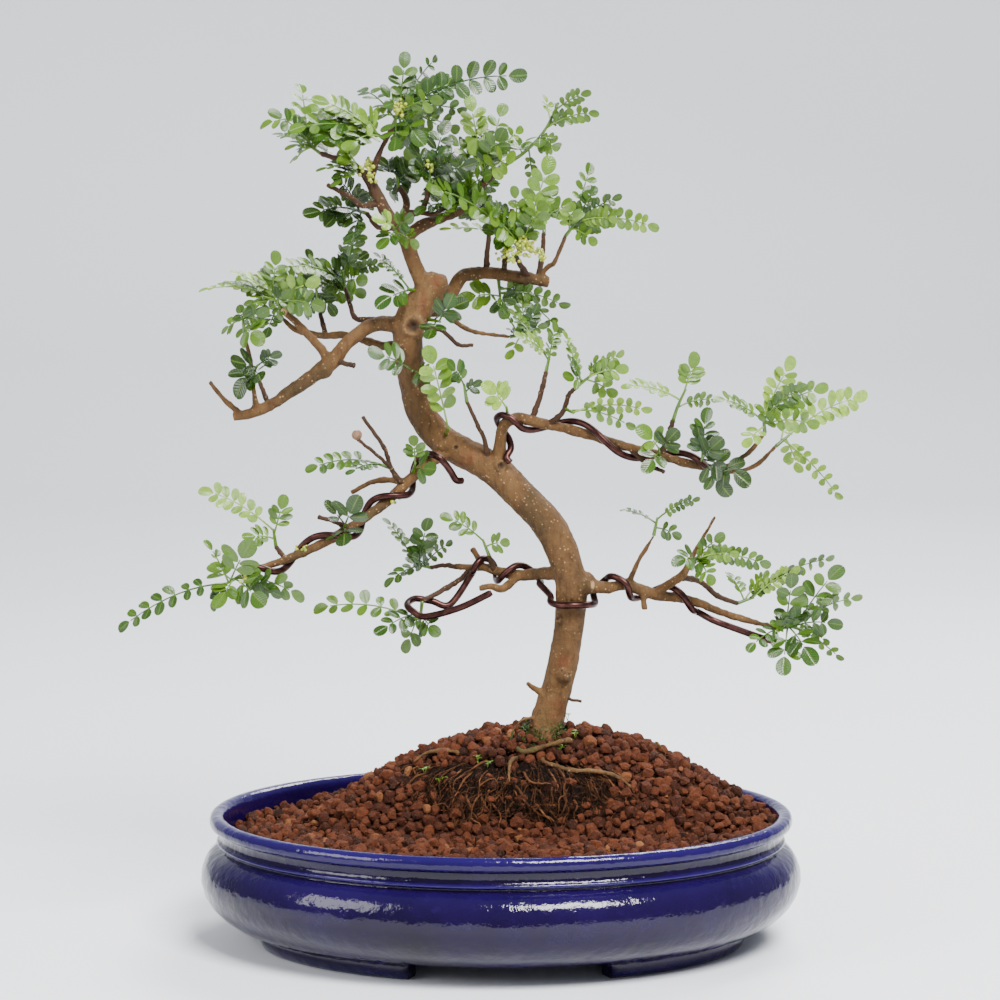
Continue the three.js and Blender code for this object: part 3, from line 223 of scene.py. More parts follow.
def noiseOf(tree, scale, detail=4.0, roughness=0.55, stretch=(1, 1, 1), specks=False):
    where = tree.nodes.new("ShaderNodeTexCoord")
    sized = tree.nodes.new("ShaderNodeVectorMath")
    sized.operation = "MULTIPLY"
    sized.inputs[1].default_value = stretch
    tree.links.new(where.outputs["Object"], sized.inputs[0])
    node = tree.nodes.new("ShaderNodeTexVoronoi" if specks else "ShaderNodeTexNoise")
    if not specks:
        node.inputs["Detail"].default_value = detail
        node.inputs["Roughness"].default_value = roughness
    node.inputs["Scale"].default_value = scale
    tree.links.new(sized.outputs["Vector"], node.inputs["Vector"])
    return node.outputs["Distance" if specks else "Fac"]


def attribute(tree, name):
    node = tree.nodes.new("ShaderNodeAttribute")
    node.attribute_name = name
    return node.outputs["Fac"]


def mixed(tree, factor, a, b, blend="MIX"):
    node = tree.nodes.new("ShaderNodeMix")
    node.data_type = "RGBA"
    node.blend_type = blend
    for name, value in (("Factor", factor), ("A", a), ("B", b)):
        feed(tree, node.inputs[name], value)
    return node.outputs["Result"]


def scaled(tree, value, low, high, fromLow=0.0, fromHigh=1.0):
    node = tree.nodes.new("ShaderNodeMapRange")
    for name, number in (("From Min", fromLow), ("From Max", fromHigh), ("To Min", low), ("To Max", high)):
        node.inputs[name].default_value = number
    tree.links.new(value, node.inputs["Value"])
    return node.outputs["Result"]


def maths(tree, operation, *values):
    node = tree.nodes.new("ShaderNodeMath")
    node.operation = operation
    for socket, value in zip(node.inputs, values):
        feed(tree, socket, value)
    return node.outputs[0]


def bump(tree, height, strength, distance, normal=None):
    node = tree.nodes.new("ShaderNodeBump")
    node.inputs["Strength"].default_value = strength
    node.inputs["Distance"].default_value = distance
    tree.links.new(height, node.inputs["Height"])
    if normal:
        tree.links.new(normal, node.inputs["Normal"])
    return node.outputs["Normal"]


# Pot
pot = {
    "halfLength": 126.5, "halfWidth": 97.0, "segments": 160, "drainAt": 52.0, "drainRadius": 8.0,
    "deepBlue": (0.0025, 0.00025, 0.0085), "midBlue": (0.0058, 0.0006, 0.027),
    "thinBlue": (0.015, 0.006, 0.1), "speckBlue": (0.012, 0.003, 0.06), "roughness": 0.05, "specular": 0.33,
}

# Offsets from the lip's oval and heights, with how thin the glaze runs there.
potOutline = [
    (-40, 7.2, 0.2), (-18, 7, 0.3), (-13, 8, 0.3), (-8, 10, 0.1), (-3.6, 13.2, 0), (0, 17, 0), (2.6, 21.5, 0),
    (4, 27, 0), (3.6, 31.5, 0.1), (2.2, 35.5, 0.2), (0.3, 38.4, 0.35), (-2.4, 40.6, 0.4), (-4.4, 41.4, 0.1),
    (-5, 42, 0), (-4.6, 42.7, 0.1), (-3.4, 43, 0.7), (-2.9, 43.7, 0.9), (-3.4, 44.5, 0.6), (-4.2, 45, 0),
    (-4.5, 46.6, 0), (-4.4, 49, 0), (-3.6, 49.9, 0.1), (-1.6, 50.3, 0.5), (-0.4, 50.9, 0.8), (0, 52, 0.5),
    (0, 53.4, 0.5), (-0.6, 55, 0.9), (-1.9, 55.9, 1), (-3.4, 56, 0.9), (-5.2, 55.6, 1), (-6.3, 54.4, 0.7),
    (-6.5, 52, 0.3), (-6.5, 40, 0), (-6.8, 26, 0), (-18, 13, 0), (-40, 12, 0),
]

# A foot's section, as offsets and heights, and each foot's two ends along the pot and its side.
footSection = [(-15.2, 8.6), (-16.6, 4), (-18.4, 1.2), (-19.6, 0), (-28.4, 0), (-29.2, 1), (-27.5, 8)]
feet = [(-101, -38, -1), (45, 103, -1), (-38, -101, 1), (103, 45, 1)]


def ovalPoint(offset, angle, z):
    return np.array([
        (pot["halfLength"] + offset) * math.cos(angle) / 1000 + potX,
        (pot["halfWidth"] + offset) * math.sin(angle) / 1000,
        z / 1000,
    ])


def potMaterial():
    material, tree, shader, _ = newMaterial("potGlaze")
    drift = noiseOf(tree, 22, 6, 0.6)
    speck = noiseOf(tree, 260, 3, 0.5)
    body = ramp(tree, drift, [(0.35, pot["deepBlue"]), (0.62, pot["midBlue"])])
    colour = mixed(tree, scaled(tree, attribute(tree, "thin"), 0, 0.6), body, pot["thinBlue"])
    colour = mixed(tree, scaled(tree, speck, 0, 0.35, 0.62, 0.75), colour, pot["speckBlue"])
    roughness = scaled(tree, speck, pot["roughness"], pot["roughness"] + 0.09, 0.3, 0.8)
    waves = bump(tree, noiseOf(tree, 30, 3, 0.5), 0.6, 0.0022)
    peel = bump(tree, noiseOf(tree, 240, 3, 0.6), 0.45, 0.0007, waves)
    dress(tree, shader, colour, roughness, peel, pot["specular"])
    return material


def footRings(x0, x1, side, steps):
    points = []
    for t in np.arange(steps + 1) / steps:
        x = x0 + (x1 - x0) * t
        drawnIn = max(0, abs(2 * t - 1) - 0.9) * 4  # rounds the foot's ends
        angle = math.acos(x / (pot["halfLength"] - 20))
        for offset, z in footSection:
            points.append(ovalPoint(offset + drawnIn * (-22 - offset) * 0.6, angle, z) * (1, side, 1))
    return points


def makePot():
    n, m, steps = pot["segments"], len(footSection), 26
    verts = [ovalPoint(offset, a, z) for offset, z, _ in potOutline for a in around(n)]
    thin = [t for _, _, t in potOutline for _ in range(n)]
    faces = bands(len(potOutline), n)
    for x0, x1, side in feet:
        faces += bands(steps + 1, m, len(verts)) + lids(steps + 1, m, len(verts))
        verts += footRings(x0, x1, side, steps)
        thin += [0.6 if 0 < z < 3 else 0.05 for _, z in footSection] * (steps + 1)
    pile = Pile("thin")
    pile.add(verts, faces, thin=thin)
    obj = pile.build("glazedPot", potMaterial())
    floorPlate(obj.data)
    finish(obj, ["pot"])
    print("pot made")


# The floor between the shell's two inner ovals, with its two drainage holes.
def floorPlate(mesh):
    bm = bmesh.new()
    (edge, low, _), (_, high, _) = potOutline[0], potOutline[-1]
    drains, r = (-pot["drainAt"], pot["drainAt"]), pot["drainRadius"]
    for z in (low, high):
        loops = [[ovalPoint(edge, a, z) for a in around(pot["segments"])]]
        for x in drains:
            rim = [(x + r * math.cos(a), r * math.sin(a)) for a in around(96)]
            loops.append([(px / 1000 + potX, py / 1000, z / 1000) for px, py in rim])
        edges = []
        for loop in loops:
            made = [bm.verts.new(p) for p in loop]
            edges += [bm.edges.new((made[i], made[(i + 1) % len(made)])) for i in range(len(made))]
        bmesh.ops.triangle_fill(bm, use_beauty=True, use_dissolve=False, edges=edges)
    rims = [(e, e.verts[0].co.copy()) for e in bm.edges if e.is_boundary]
    for x in drains:
        centre = Vector((potX + x / 1000, 0, low / 1000))
        hole = [e for e, at in rims if (at - centre).length < (r + 0.5) / 1000]
        grown = bmesh.ops.extrude_edge_only(bm, edges=hole)["geom"]
        wall = [g for g in grown if isinstance(g, bmesh.types.BMVert)]
        bmesh.ops.translate(bm, vec=(0, 0, (high - low) / 1000), verts=wall)
    bm.from_mesh(mesh)
    bmesh.ops.remove_doubles(bm, verts=bm.verts, dist=1e-5)
    bmesh.ops.recalc_face_normals(bm, faces=bm.faces)
    for face in bm.faces:
        face.smooth = True
    bm.to_mesh(mesh)
    bm.free()


makePot()


# Granules and root ball, in mm
soil = {
    "moundTop": 90.5, "centre": (18, 2), "side": 105, "back": 82, "front": 44,
    "bedHalf": (119.1, 89.6), "bedSink": -1.2, "underside": ((27, 1.0), (14, 0.895)),
    "dark": (0.017, 0.0048, 0.002), "red": (0.04, 0.0088, 0.0028), "pale": (0.09, 0.0225, 0.0072),
    "ochre": (0.22, 0.085, 0.03), "seed": 11, "perSquareMetre": 250000, "shapes": 9, "shapeSeed": 3,
}
# Name, lift over the heap's mean surface, roundness, and spacing and sizes in metres.
soilLayers = [
    ("granules", 0.4, 2, {"Spacing": 0.0036, "Smallest": 0.0036, "Largest": 0.0078}),
    ("crumbs", -0.4, 1, {"Spacing": 0.0024, "Smallest": 0.0018, "Largest": 0.0034}),
]
ball = {
    "centre": (8, 2), "half": (62, 37), "bottom": 15.5, "top": 81.5,
    "hairs": 1800, "boldHairs": 0.07, "clods": 900, "caught": 90, "seed": 4,
}
# How wide the ball is at shares of its height.
ballHeights, ballWidths = (0, 0.2, 0.5, 0.74, 0.9, 1), (0.66, 0.94, 1, 0.96, 0.8, 0.42)


# The ground falls towards the ends, and the mound rises from it more steeply in front.
def soilHeight(x, y):
    level = 51 - y / 90 - (7 if x < 0 else 3) * (x / 120) ** 2
    dx = (x - soil["centre"][0]) / soil["side"]
    dy = (y - soil["centre"][1]) / (soil["back"] if y > soil["centre"][1] else soil["front"])
    rise = max(0, 1 - dx * dx - dy * dy) ** 1.15
    relief = 1.1 * (math.sin(x * 0.61 + y * 0.23) + math.sin(y * 0.57 - x * 0.31 + 1))
    return level + (soil["moundTop"] - level) * rise + relief


# The ball bulges to the front right.
def shoulder(angle):
    return 1 + 0.12 * max(0, math.cos(angle + math.pi / 4)) ** 2


def insideBall(x, y, z, extra=0.0):
    rise = (z - ball["bottom"]) / (ball["top"] - ball["bottom"])
    if rise > 1.02:
        return False
    dx, dy = (x - ball["centre"][0]) / ball["half"][0], (y - ball["centre"][1]) / ball["half"][1]
    spread = np.interp(rise, ballHeights, ballWidths) + extra
    return math.hypot(dx, dy) < spread * shoulder(math.atan2(dy, dx))


def grainMaterial():
    material, tree, shader, _ = newMaterial("bakedGranules")
    colour = ramp(tree, attribute(tree, "shade"), [
        (0.0, soil["dark"]), (0.13, soil["red"]), (0.75, soil["pale"]), (0.97, soil["pale"]),
        (1.0, soil["ochre"]),
    ])
    dust = noiseOf(tree, 700, 5, 0.7)
    colour = mixed(tree, scaled(tree, dust, 0, 0.75, 0.5, 0.75), colour, soil["dark"])
    flecks = noiseOf(tree, 1900, 3, 0.6)
    colour = mixed(tree, scaled(tree, flecks, 0, 0.5, 0.56, 0.7), colour, soil["ochre"])
    dress(tree, shader, colour, 0.93, bump(tree, dust, 1.0, 0.0011), 0.25)
    return material


grainPaint = grainMaterial()


# Stones scattered over a surface, with their spacing and sizes as inputs.
def scatterTree(stones, seed):
    tree = bpy.data.node_groups.new("scatterStones", "GeometryNodeTree")
    tree.interface.new_socket("Geometry", in_out="INPUT", socket_type="NodeSocketGeometry")
    for name in ("Spacing", "Smallest", "Largest"):
        tree.interface.new_socket(name, in_out="INPUT", socket_type="NodeSocketFloat")
    tree.interface.new_socket("Geometry", in_out="OUTPUT", socket_type="NodeSocketGeometry")
    add, link = tree.nodes.new, tree.links.new
    start, end = add("NodeGroupInput"), add("NodeGroupOutput")
    spread = add("GeometryNodeDistributePointsOnFaces")
    spread.distribute_method = "POISSON"
    spread.inputs["Density Max"].default_value = soil["perSquareMetre"]
    spread.inputs["Seed"].default_value = seed
    link(start.outputs["Geometry"], spread.inputs["Mesh"])
    link(start.outputs["Spacing"], spread.inputs["Distance Min"])
    source = add("GeometryNodeCollectionInfo")
    source.inputs["Collection"].default_value = stones
    source.inputs["Separate Children"].default_value = True
    source.inputs["Reset Children"].default_value = True
    place = add("GeometryNodeInstanceOnPoints")
    place.inputs["Pick Instance"].default_value = True
    link(spread.outputs["Points"], place.inputs["Points"])
    link(source.outputs["Instances"], place.inputs["Instance"])
    turn, size, shade = [add("FunctionNodeRandomValue") for _ in range(3)]
    for step, node in enumerate((turn, size, shade), 1):
        node.inputs["Seed"].default_value = seed + step
    turn.data_type = "FLOAT_VECTOR"
    turn.inputs["Max"].default_value = (6.283, 6.283, 6.283)
    link(turn.outputs["Value"], place.inputs["Rotation"])
    smallest, largest = [s for s in size.inputs if s.name in ("Min", "Max") and s.type == "VALUE"][:2]
    link(start.outputs["Smallest"], smallest)
    link(start.outputs["Largest"], largest)
    numberOf = {node: [o for o in node.outputs if o.type == "VALUE"][0] for node in (size, shade)}
    link(numberOf[size], place.inputs["Scale"])
    store = add("GeometryNodeStoreNamedAttribute")
    store.data_type, store.domain = "FLOAT", "INSTANCE"
    store.inputs["Name"].default_value = "shade"
    link(place.outputs["Instances"], store.inputs["Geometry"])
    link(numberOf[shade], [s for s in store.inputs if s.name == "Value"][0])
    real, paint = add("GeometryNodeRealizeInstances"), add("GeometryNodeSetMaterial")
    paint.inputs["Material"].default_value = grainPaint
    link(store.outputs["Geometry"], real.inputs[0])
    link(real.outputs[0], paint.inputs["Geometry"])
    link(paint.outputs[0], end.inputs[0])
    return tree


def makeStone(rng, detail):
    stone = roundLump(detail, 0.5)
    stretch = Vector((rng.uniform(0.8, 1.15), rng.uniform(0.75, 1.05), rng.uniform(0.65, 0.95)))
    cuts = []
    for _ in range(8):
        facing = Vector([rng.gauss(0, 1) for _ in range(3)]).normalized()
        cuts.append((facing, rng.uniform(0.25, 0.4)))
    for v in stone.verts:
        for facing, reach in cuts:
            v.co -= facing * max(0, v.co.dot(facing) - reach)
        v.co = v.co * stretch * rng.uniform(0.93, 1.08)
    return stone


def stoneShapes(detail):
    group = bpy.data.collections.new("stoneShapes%d" % detail)
    rng = random.Random(soil["shapeSeed"])
    for i in range(soil["shapes"]):
        stone = makeStone(rng, detail)
        mesh = bpy.data.meshes.new("stone%d_%d" % (detail, i))
        stone.to_mesh(mesh)
        stone.free()
        group.objects.link(bpy.data.objects.new(mesh.name, mesh))
    return group


def bedRing(share, count, height):
    ring = []
    for a in around(count):
        x, y = soil["bedHalf"][0] * share * math.cos(a), soil["bedHalf"][1] * share * math.sin(a)
        ring.append((x / 1000 + potX, y / 1000, height(x, y) / 1000))
    return ring


# The heap's surface, as rings of the pot's oval.
def heapMesh(rings, count, lift):
    def height(x, y):
        return soilHeight(x, y) + lift

    verts = [p for r in range(rings) for p in bedRing(1 - r / rings, count, height)]
    verts.append((potX, 0, height(0, 0) / 1000))
    return verts, bands(rings, count) + fan((rings - 1) * count, count, len(verts) - 1)


# The faces that don't lie over the bared root ball.
def clearOfBall(verts, faces, sink, extra=0.0):
    kept = []
    for face in faces:
        x, y, z = np.mean([verts[v] for v in face], axis=0) * 1000
        if len(face) > 4 or not insideBall(x - potX * 1000, y, z - sink, extra):
            kept.append(face)
    return kept


def makeSoil():
    count = 110
    verts, faces = heapMesh(30, count, soil["bedSink"])
    before = 0
    for z, share in soil["underside"]:
        start = len(verts)
        verts += bedRing(share, count, lambda x, y: z)
        for k in range(count):
            n = (k + 1) % count
            faces.append((start + k, start + n, before + n, before + k))
        before = start
    faces.append(tuple(range(len(verts) - 1, before - 1, -1)))
    pile = Pile("shade")
    pile.add(verts, clearOfBall(verts, faces, 1.5, -0.03), shade=0.1)
    finish(pile.build("granuleBed", grainPaint), ["soil_granules"])
    for name, lift, detail, sizes in soilLayers:
        verts, faces = heapMesh(40, 140, lift)
        pile = Pile("shade")
        pile.add(verts, clearOfBall(verts, faces, 1.2))
        cover = pile.build(name, grainPaint)
        layer = cover.modifiers.new("scatter", "NODES")
        layer.node_group = scatterTree(stoneShapes(detail), soil["seed"] + detail)
        for item in layer.node_group.interface.items_tree:
            if item.name in sizes:
                layer[item.identifier] = sizes[item.name]
        applied(cover)
        print(name + ":", len(cover.data.polygons), "faces")
        finish(cover, [])


makeSoil()


def rootMaterial():
    material, tree, shader, _ = newMaterial("rootMat")
    grain = noiseOf(tree, 320, 6, 0.7)
    dark = ramp(tree, grain, [
        (0.35, (0.0014, 0.0008, 0.0005)), (0.55, (0.007, 0.003, 0.0014)), (0.75, (0.03, 0.0105, 0.0045))])
    light = ramp(tree, grain, [(0.3, (0.055, 0.0175, 0.007)), (0.7, (0.19, 0.08, 0.034))])
    colour = mixed(tree, attribute(tree, "tone"), dark, light)
    dress(tree, shader, colour, 0.9, bump(tree, grain, 0.9, 0.0012), 0.12)
    return material


rootPaint = rootMaterial()


def ballPoint(angle, rise):
    spread = np.interp(rise, ballHeights, ballWidths)
    knob = shoulder(angle) + 0.03 * math.sin(angle * 7 + rise * 5) + 0.02 * math.sin(angle * 11 - rise * 3)
    x = ball["centre"][0] + ball["half"][0] * knob * spread * math.cos(angle)
    y = ball["centre"][1] + ball["half"][1] * knob * spread * math.sin(angle)
    z = ball["bottom"] + (ball["top"] - ball["bottom"]) * rise
    rough = noise.fractal(Vector((x, y, z)) * 0.16, 0.7, 2.1, 5) * 2.0
    out = Vector((math.cos(angle), math.sin(angle), rise)).normalized() * rough
    return Vector(((x + out.x) / 1000 + potX, (y + out.y) / 1000, (z + out.z) / 1000))


# A root that wanders over the ball's front.
def addHair(pile, rng):
    angle, rise = rng.uniform(math.pi * 0.95, math.pi * 2.05), rng.uniform(0.6, 0.99)
    bold = rng.random() < ball["boldHairs"]
    thick = rng.uniform(0.0004, 0.00075) if bold else rng.uniform(0.0001, 0.00024)
    heading = -math.pi / 2 + rng.gauss(0, 0.9)
    stride, lift = rng.uniform(0.02, 0.045), rng.uniform(0.0002, 0.0024)
    path = []
    for step in range(8):
        away = lift * math.sin(step / 7 * math.pi) + rng.uniform(0, 0.0005)
        path.append(ballPoint(angle, rise) + Vector((math.cos(angle), math.sin(angle), 0.4)) * away)
        angle += math.cos(heading) * stride
        rise = min(0.99, max(0.48, rise + math.sin(heading) * stride))
        heading += rng.uniform(-0.7, 0.7)
    tone = rng.choice((0.4, 0.75, 1) if bold else (0.02, 0.06, 0.12, 0.3, 0.7))
    pile.add(*tubeMesh(spline(path, 10), thick * np.linspace(1, 0.35, 10), 4), tone=tone)


def makeBall():
    rng = random.Random(ball["seed"])
    pile = Pile("tone")
    count, levels = 150, 46
    verts = []
    for r in range(levels):
        rise = math.sin(r / (levels - 1) * math.pi / 2)
        verts += [ballPoint(2 * math.pi * k / count, rise) for k in range(count)]
    verts.append((ball["centre"][0] / 1000 + potX, ball["centre"][1] / 1000, (ball["top"] + 0.6) / 1000))
    faces = bands(levels, count) + fan((levels - 1) * count, count, len(verts) - 1)
    pile.add(verts, faces + [tuple(range(count - 1, -1, -1))])
    for _ in range(ball["hairs"]):
        addHair(pile, rng)
    finish(pile.build("rootBall", rootPaint), ["root_ball"])
    stones = Pile("shade")
    for i in range(ball["caught"] + ball["clods"]):
        clod = i >= ball["caught"]
        rise = rng.uniform(0.5, 0.99) if clod else rng.triangular(0.5, 0.99, 0.95)
        centre = ballPoint(rng.uniform(math.pi * 1.02, math.pi * 1.98), rise)
        stone = makeStone(rng, 1 if clod else 2)
        size = rng.uniform(0.0012, 0.0034) if clod else rng.uniform(0.0022, 0.0062)
        stones.addLump(stone, centre, size, shade=rng.uniform(0, 0.06) if clod else rng.random())
    finish(stones.build("caughtGranules", grainPaint, False), [])
    print("root ball made")


makeBall()


# Limbs, twigs and surface roots: [x, depth, z, radius] in mm
limbs = {
    "trunk": [(19, 0, 68, 5.5), (19, 0, 84, 8), (19.5, 0, 93, 7.6), (23.8, -1, 108, 6.6),
        (26, -2, 116, 6.8), (29.4, -4, 136, 6.5), (30.2, -5, 150, 7), (29.7, -5, 159, 7),
        (24.5, -3, 173.5, 7.3), (18.9, -1, 182.6, 7.1), (8.2, 2, 193.5, 6.9), (-2.6, 5, 204.3, 7.2),
        (-17.6, 7, 212.8, 6.8), (-26.2, 8, 218.3, 6.7), (-34.7, 7, 229.8, 6.4), (-37.3, 6, 239, 6.2),
        (-39.4, 3, 254.8, 6.2), (-39.3, 2, 266, 7.3), (-35.4, 0, 274.4, 6.9), (-31.2, -1, 279.5, 6.6),
        (-28, -2, 286, 6), (-27, -2, 289, 3.4)],
    "leader": [(-31, -1, 280, 4.2), (-33.5, -2, 284.5, 3.9), (-37.1, -3, 292.7, 3.5),
        (-41.7, -5, 305.4, 3.2), (-48, -7, 313.1, 2.9), (-53.9, -8, 324.1, 2.6), (-58.5, -9, 331.8, 2.1)],
    "rightFork": [(-41, -5, 303, 3), (-34.4, -3, 308.4, 2.7), (-25.9, 0, 311.8, 2.4),
        (-19.5, 3, 314.3, 2.3), (-13.1, 6, 317.7, 2.1), (-8.1, 8, 325.8, 2), (-3.8, 9, 330.9, 1.9),
        (0.8, 10, 333.9, 1.6)],
    "upperRight": [(-33, 0, 277, 3.6), (-25, 6, 276, 3.3), (-20.5, 11, 281.6, 3.2), (-17.5, 14, 286.3, 3.1),
        (-13.2, 17, 288.4, 3), (-4.7, 20, 288.8, 2.9), (3.8, 22, 287.6, 2.9), (12.4, 24, 286.3, 3),
        (20.5, 26, 285, 2.7)],
    "upperLeft": [(-40, 2, 266.5, 4), (-46, 0, 267, 3.7), (-52.6, -2, 267.2, 3.4), (-58.1, -4, 265, 3.2),
        (-63.7, -6, 260.8, 3.1), (-68, -7, 256.5, 3.1), (-71, -8, 252.3, 3.4), (-75.3, -9, 248.5, 3.7),
        (-80.9, -11, 244.6, 3.1), (-86, -13, 240.8, 3), (-92.4, -15, 236.6, 2.8), (-98, -17, 232.7, 2.6),
        (-104, -19, 229.8, 2.5), (-109.6, -21, 228, 2.4), (-115.2, -22, 226.8, 1.8)],
    "backLeft": [(-40, 4, 257.5, 2.6), (-46, 9, 257.8, 2.3), (-51.7, 12, 257.8, 2.1),
        (-59.4, 15, 260.4, 1.9), (-67.5, 18, 262.5, 1.8), (-75.2, 21, 262, 1.7), (-83.8, 24, 263.3, 1.6),
        (-89.3, 26, 265.5, 1.4), (-93.5, 28, 269.5, 1.2)],
    "middleRight": [(-3, 5, 204, 4), (-1, 2, 209, 3.4), (-0.4, 0, 214.9, 2.8), (0.4, -2, 221.3, 2.6),
        (3, -4, 225.3, 2.6), (8.1, -5, 226.6, 2.5), (16.7, -6, 224.7, 2.4), (29.6, -8, 221.7, 2.3),
        (42.5, -10, 217.9, 2.2), (55.4, -12, 214, 2.1), (68.3, -14, 210.6, 2.1), (81.2, -15, 206.8, 2),
        (92, -16, 205.1, 1.6)],
    "middleLeft": [(-22, 7, 213, 3.4), (-27, 3, 210.3, 2.9), (-30.5, 0, 207.7, 2.6), (-37, -4, 202.1, 2.5),
        (-43.4, -7, 196.1, 2.4), (-49.9, -10, 190, 2.3), (-57.2, -13, 184.7, 2.3), (-64.9, -16, 179.5, 2.3),
        (-73.5, -19, 174.3, 2.2), (-84.3, -22, 169, 2.1), (-95, -25, 164.7, 1.9), (-104.5, -28, 161.6, 1.6),
        (-112.2, -30, 158.6, 1.2)],
    "lowerLeft": [(25, -4, 160, 3.4), (21, 0, 159.6, 3.1), (16.8, 4, 159.5, 2.9), (8.2, 9, 158.6, 2.6),
        (-0.4, 13, 160.3, 2.4), (-6.9, 16, 162.1, 2.1), (-13.3, 18, 162.1, 1.8), (-18.9, 20, 162.5, 1.4)],
    "lowerRight": [(30, -5, 153.8, 3.8), (36, -5, 153.6, 3.4), (40.5, -4, 153.8, 3), (47, -3, 153.3, 2.9),
        (53.4, -2, 154.7, 2.8), (59.9, -1, 152.5, 2.7), (68.5, 0, 149.9, 2.5), (77.1, 1, 149, 2.3),
        (85.8, 2, 146.4, 2.1), (94.4, 3, 142.9, 1.9), (105.2, 4, 139.4, 1.7), (120.3, 6, 135.5, 1.2)],
}
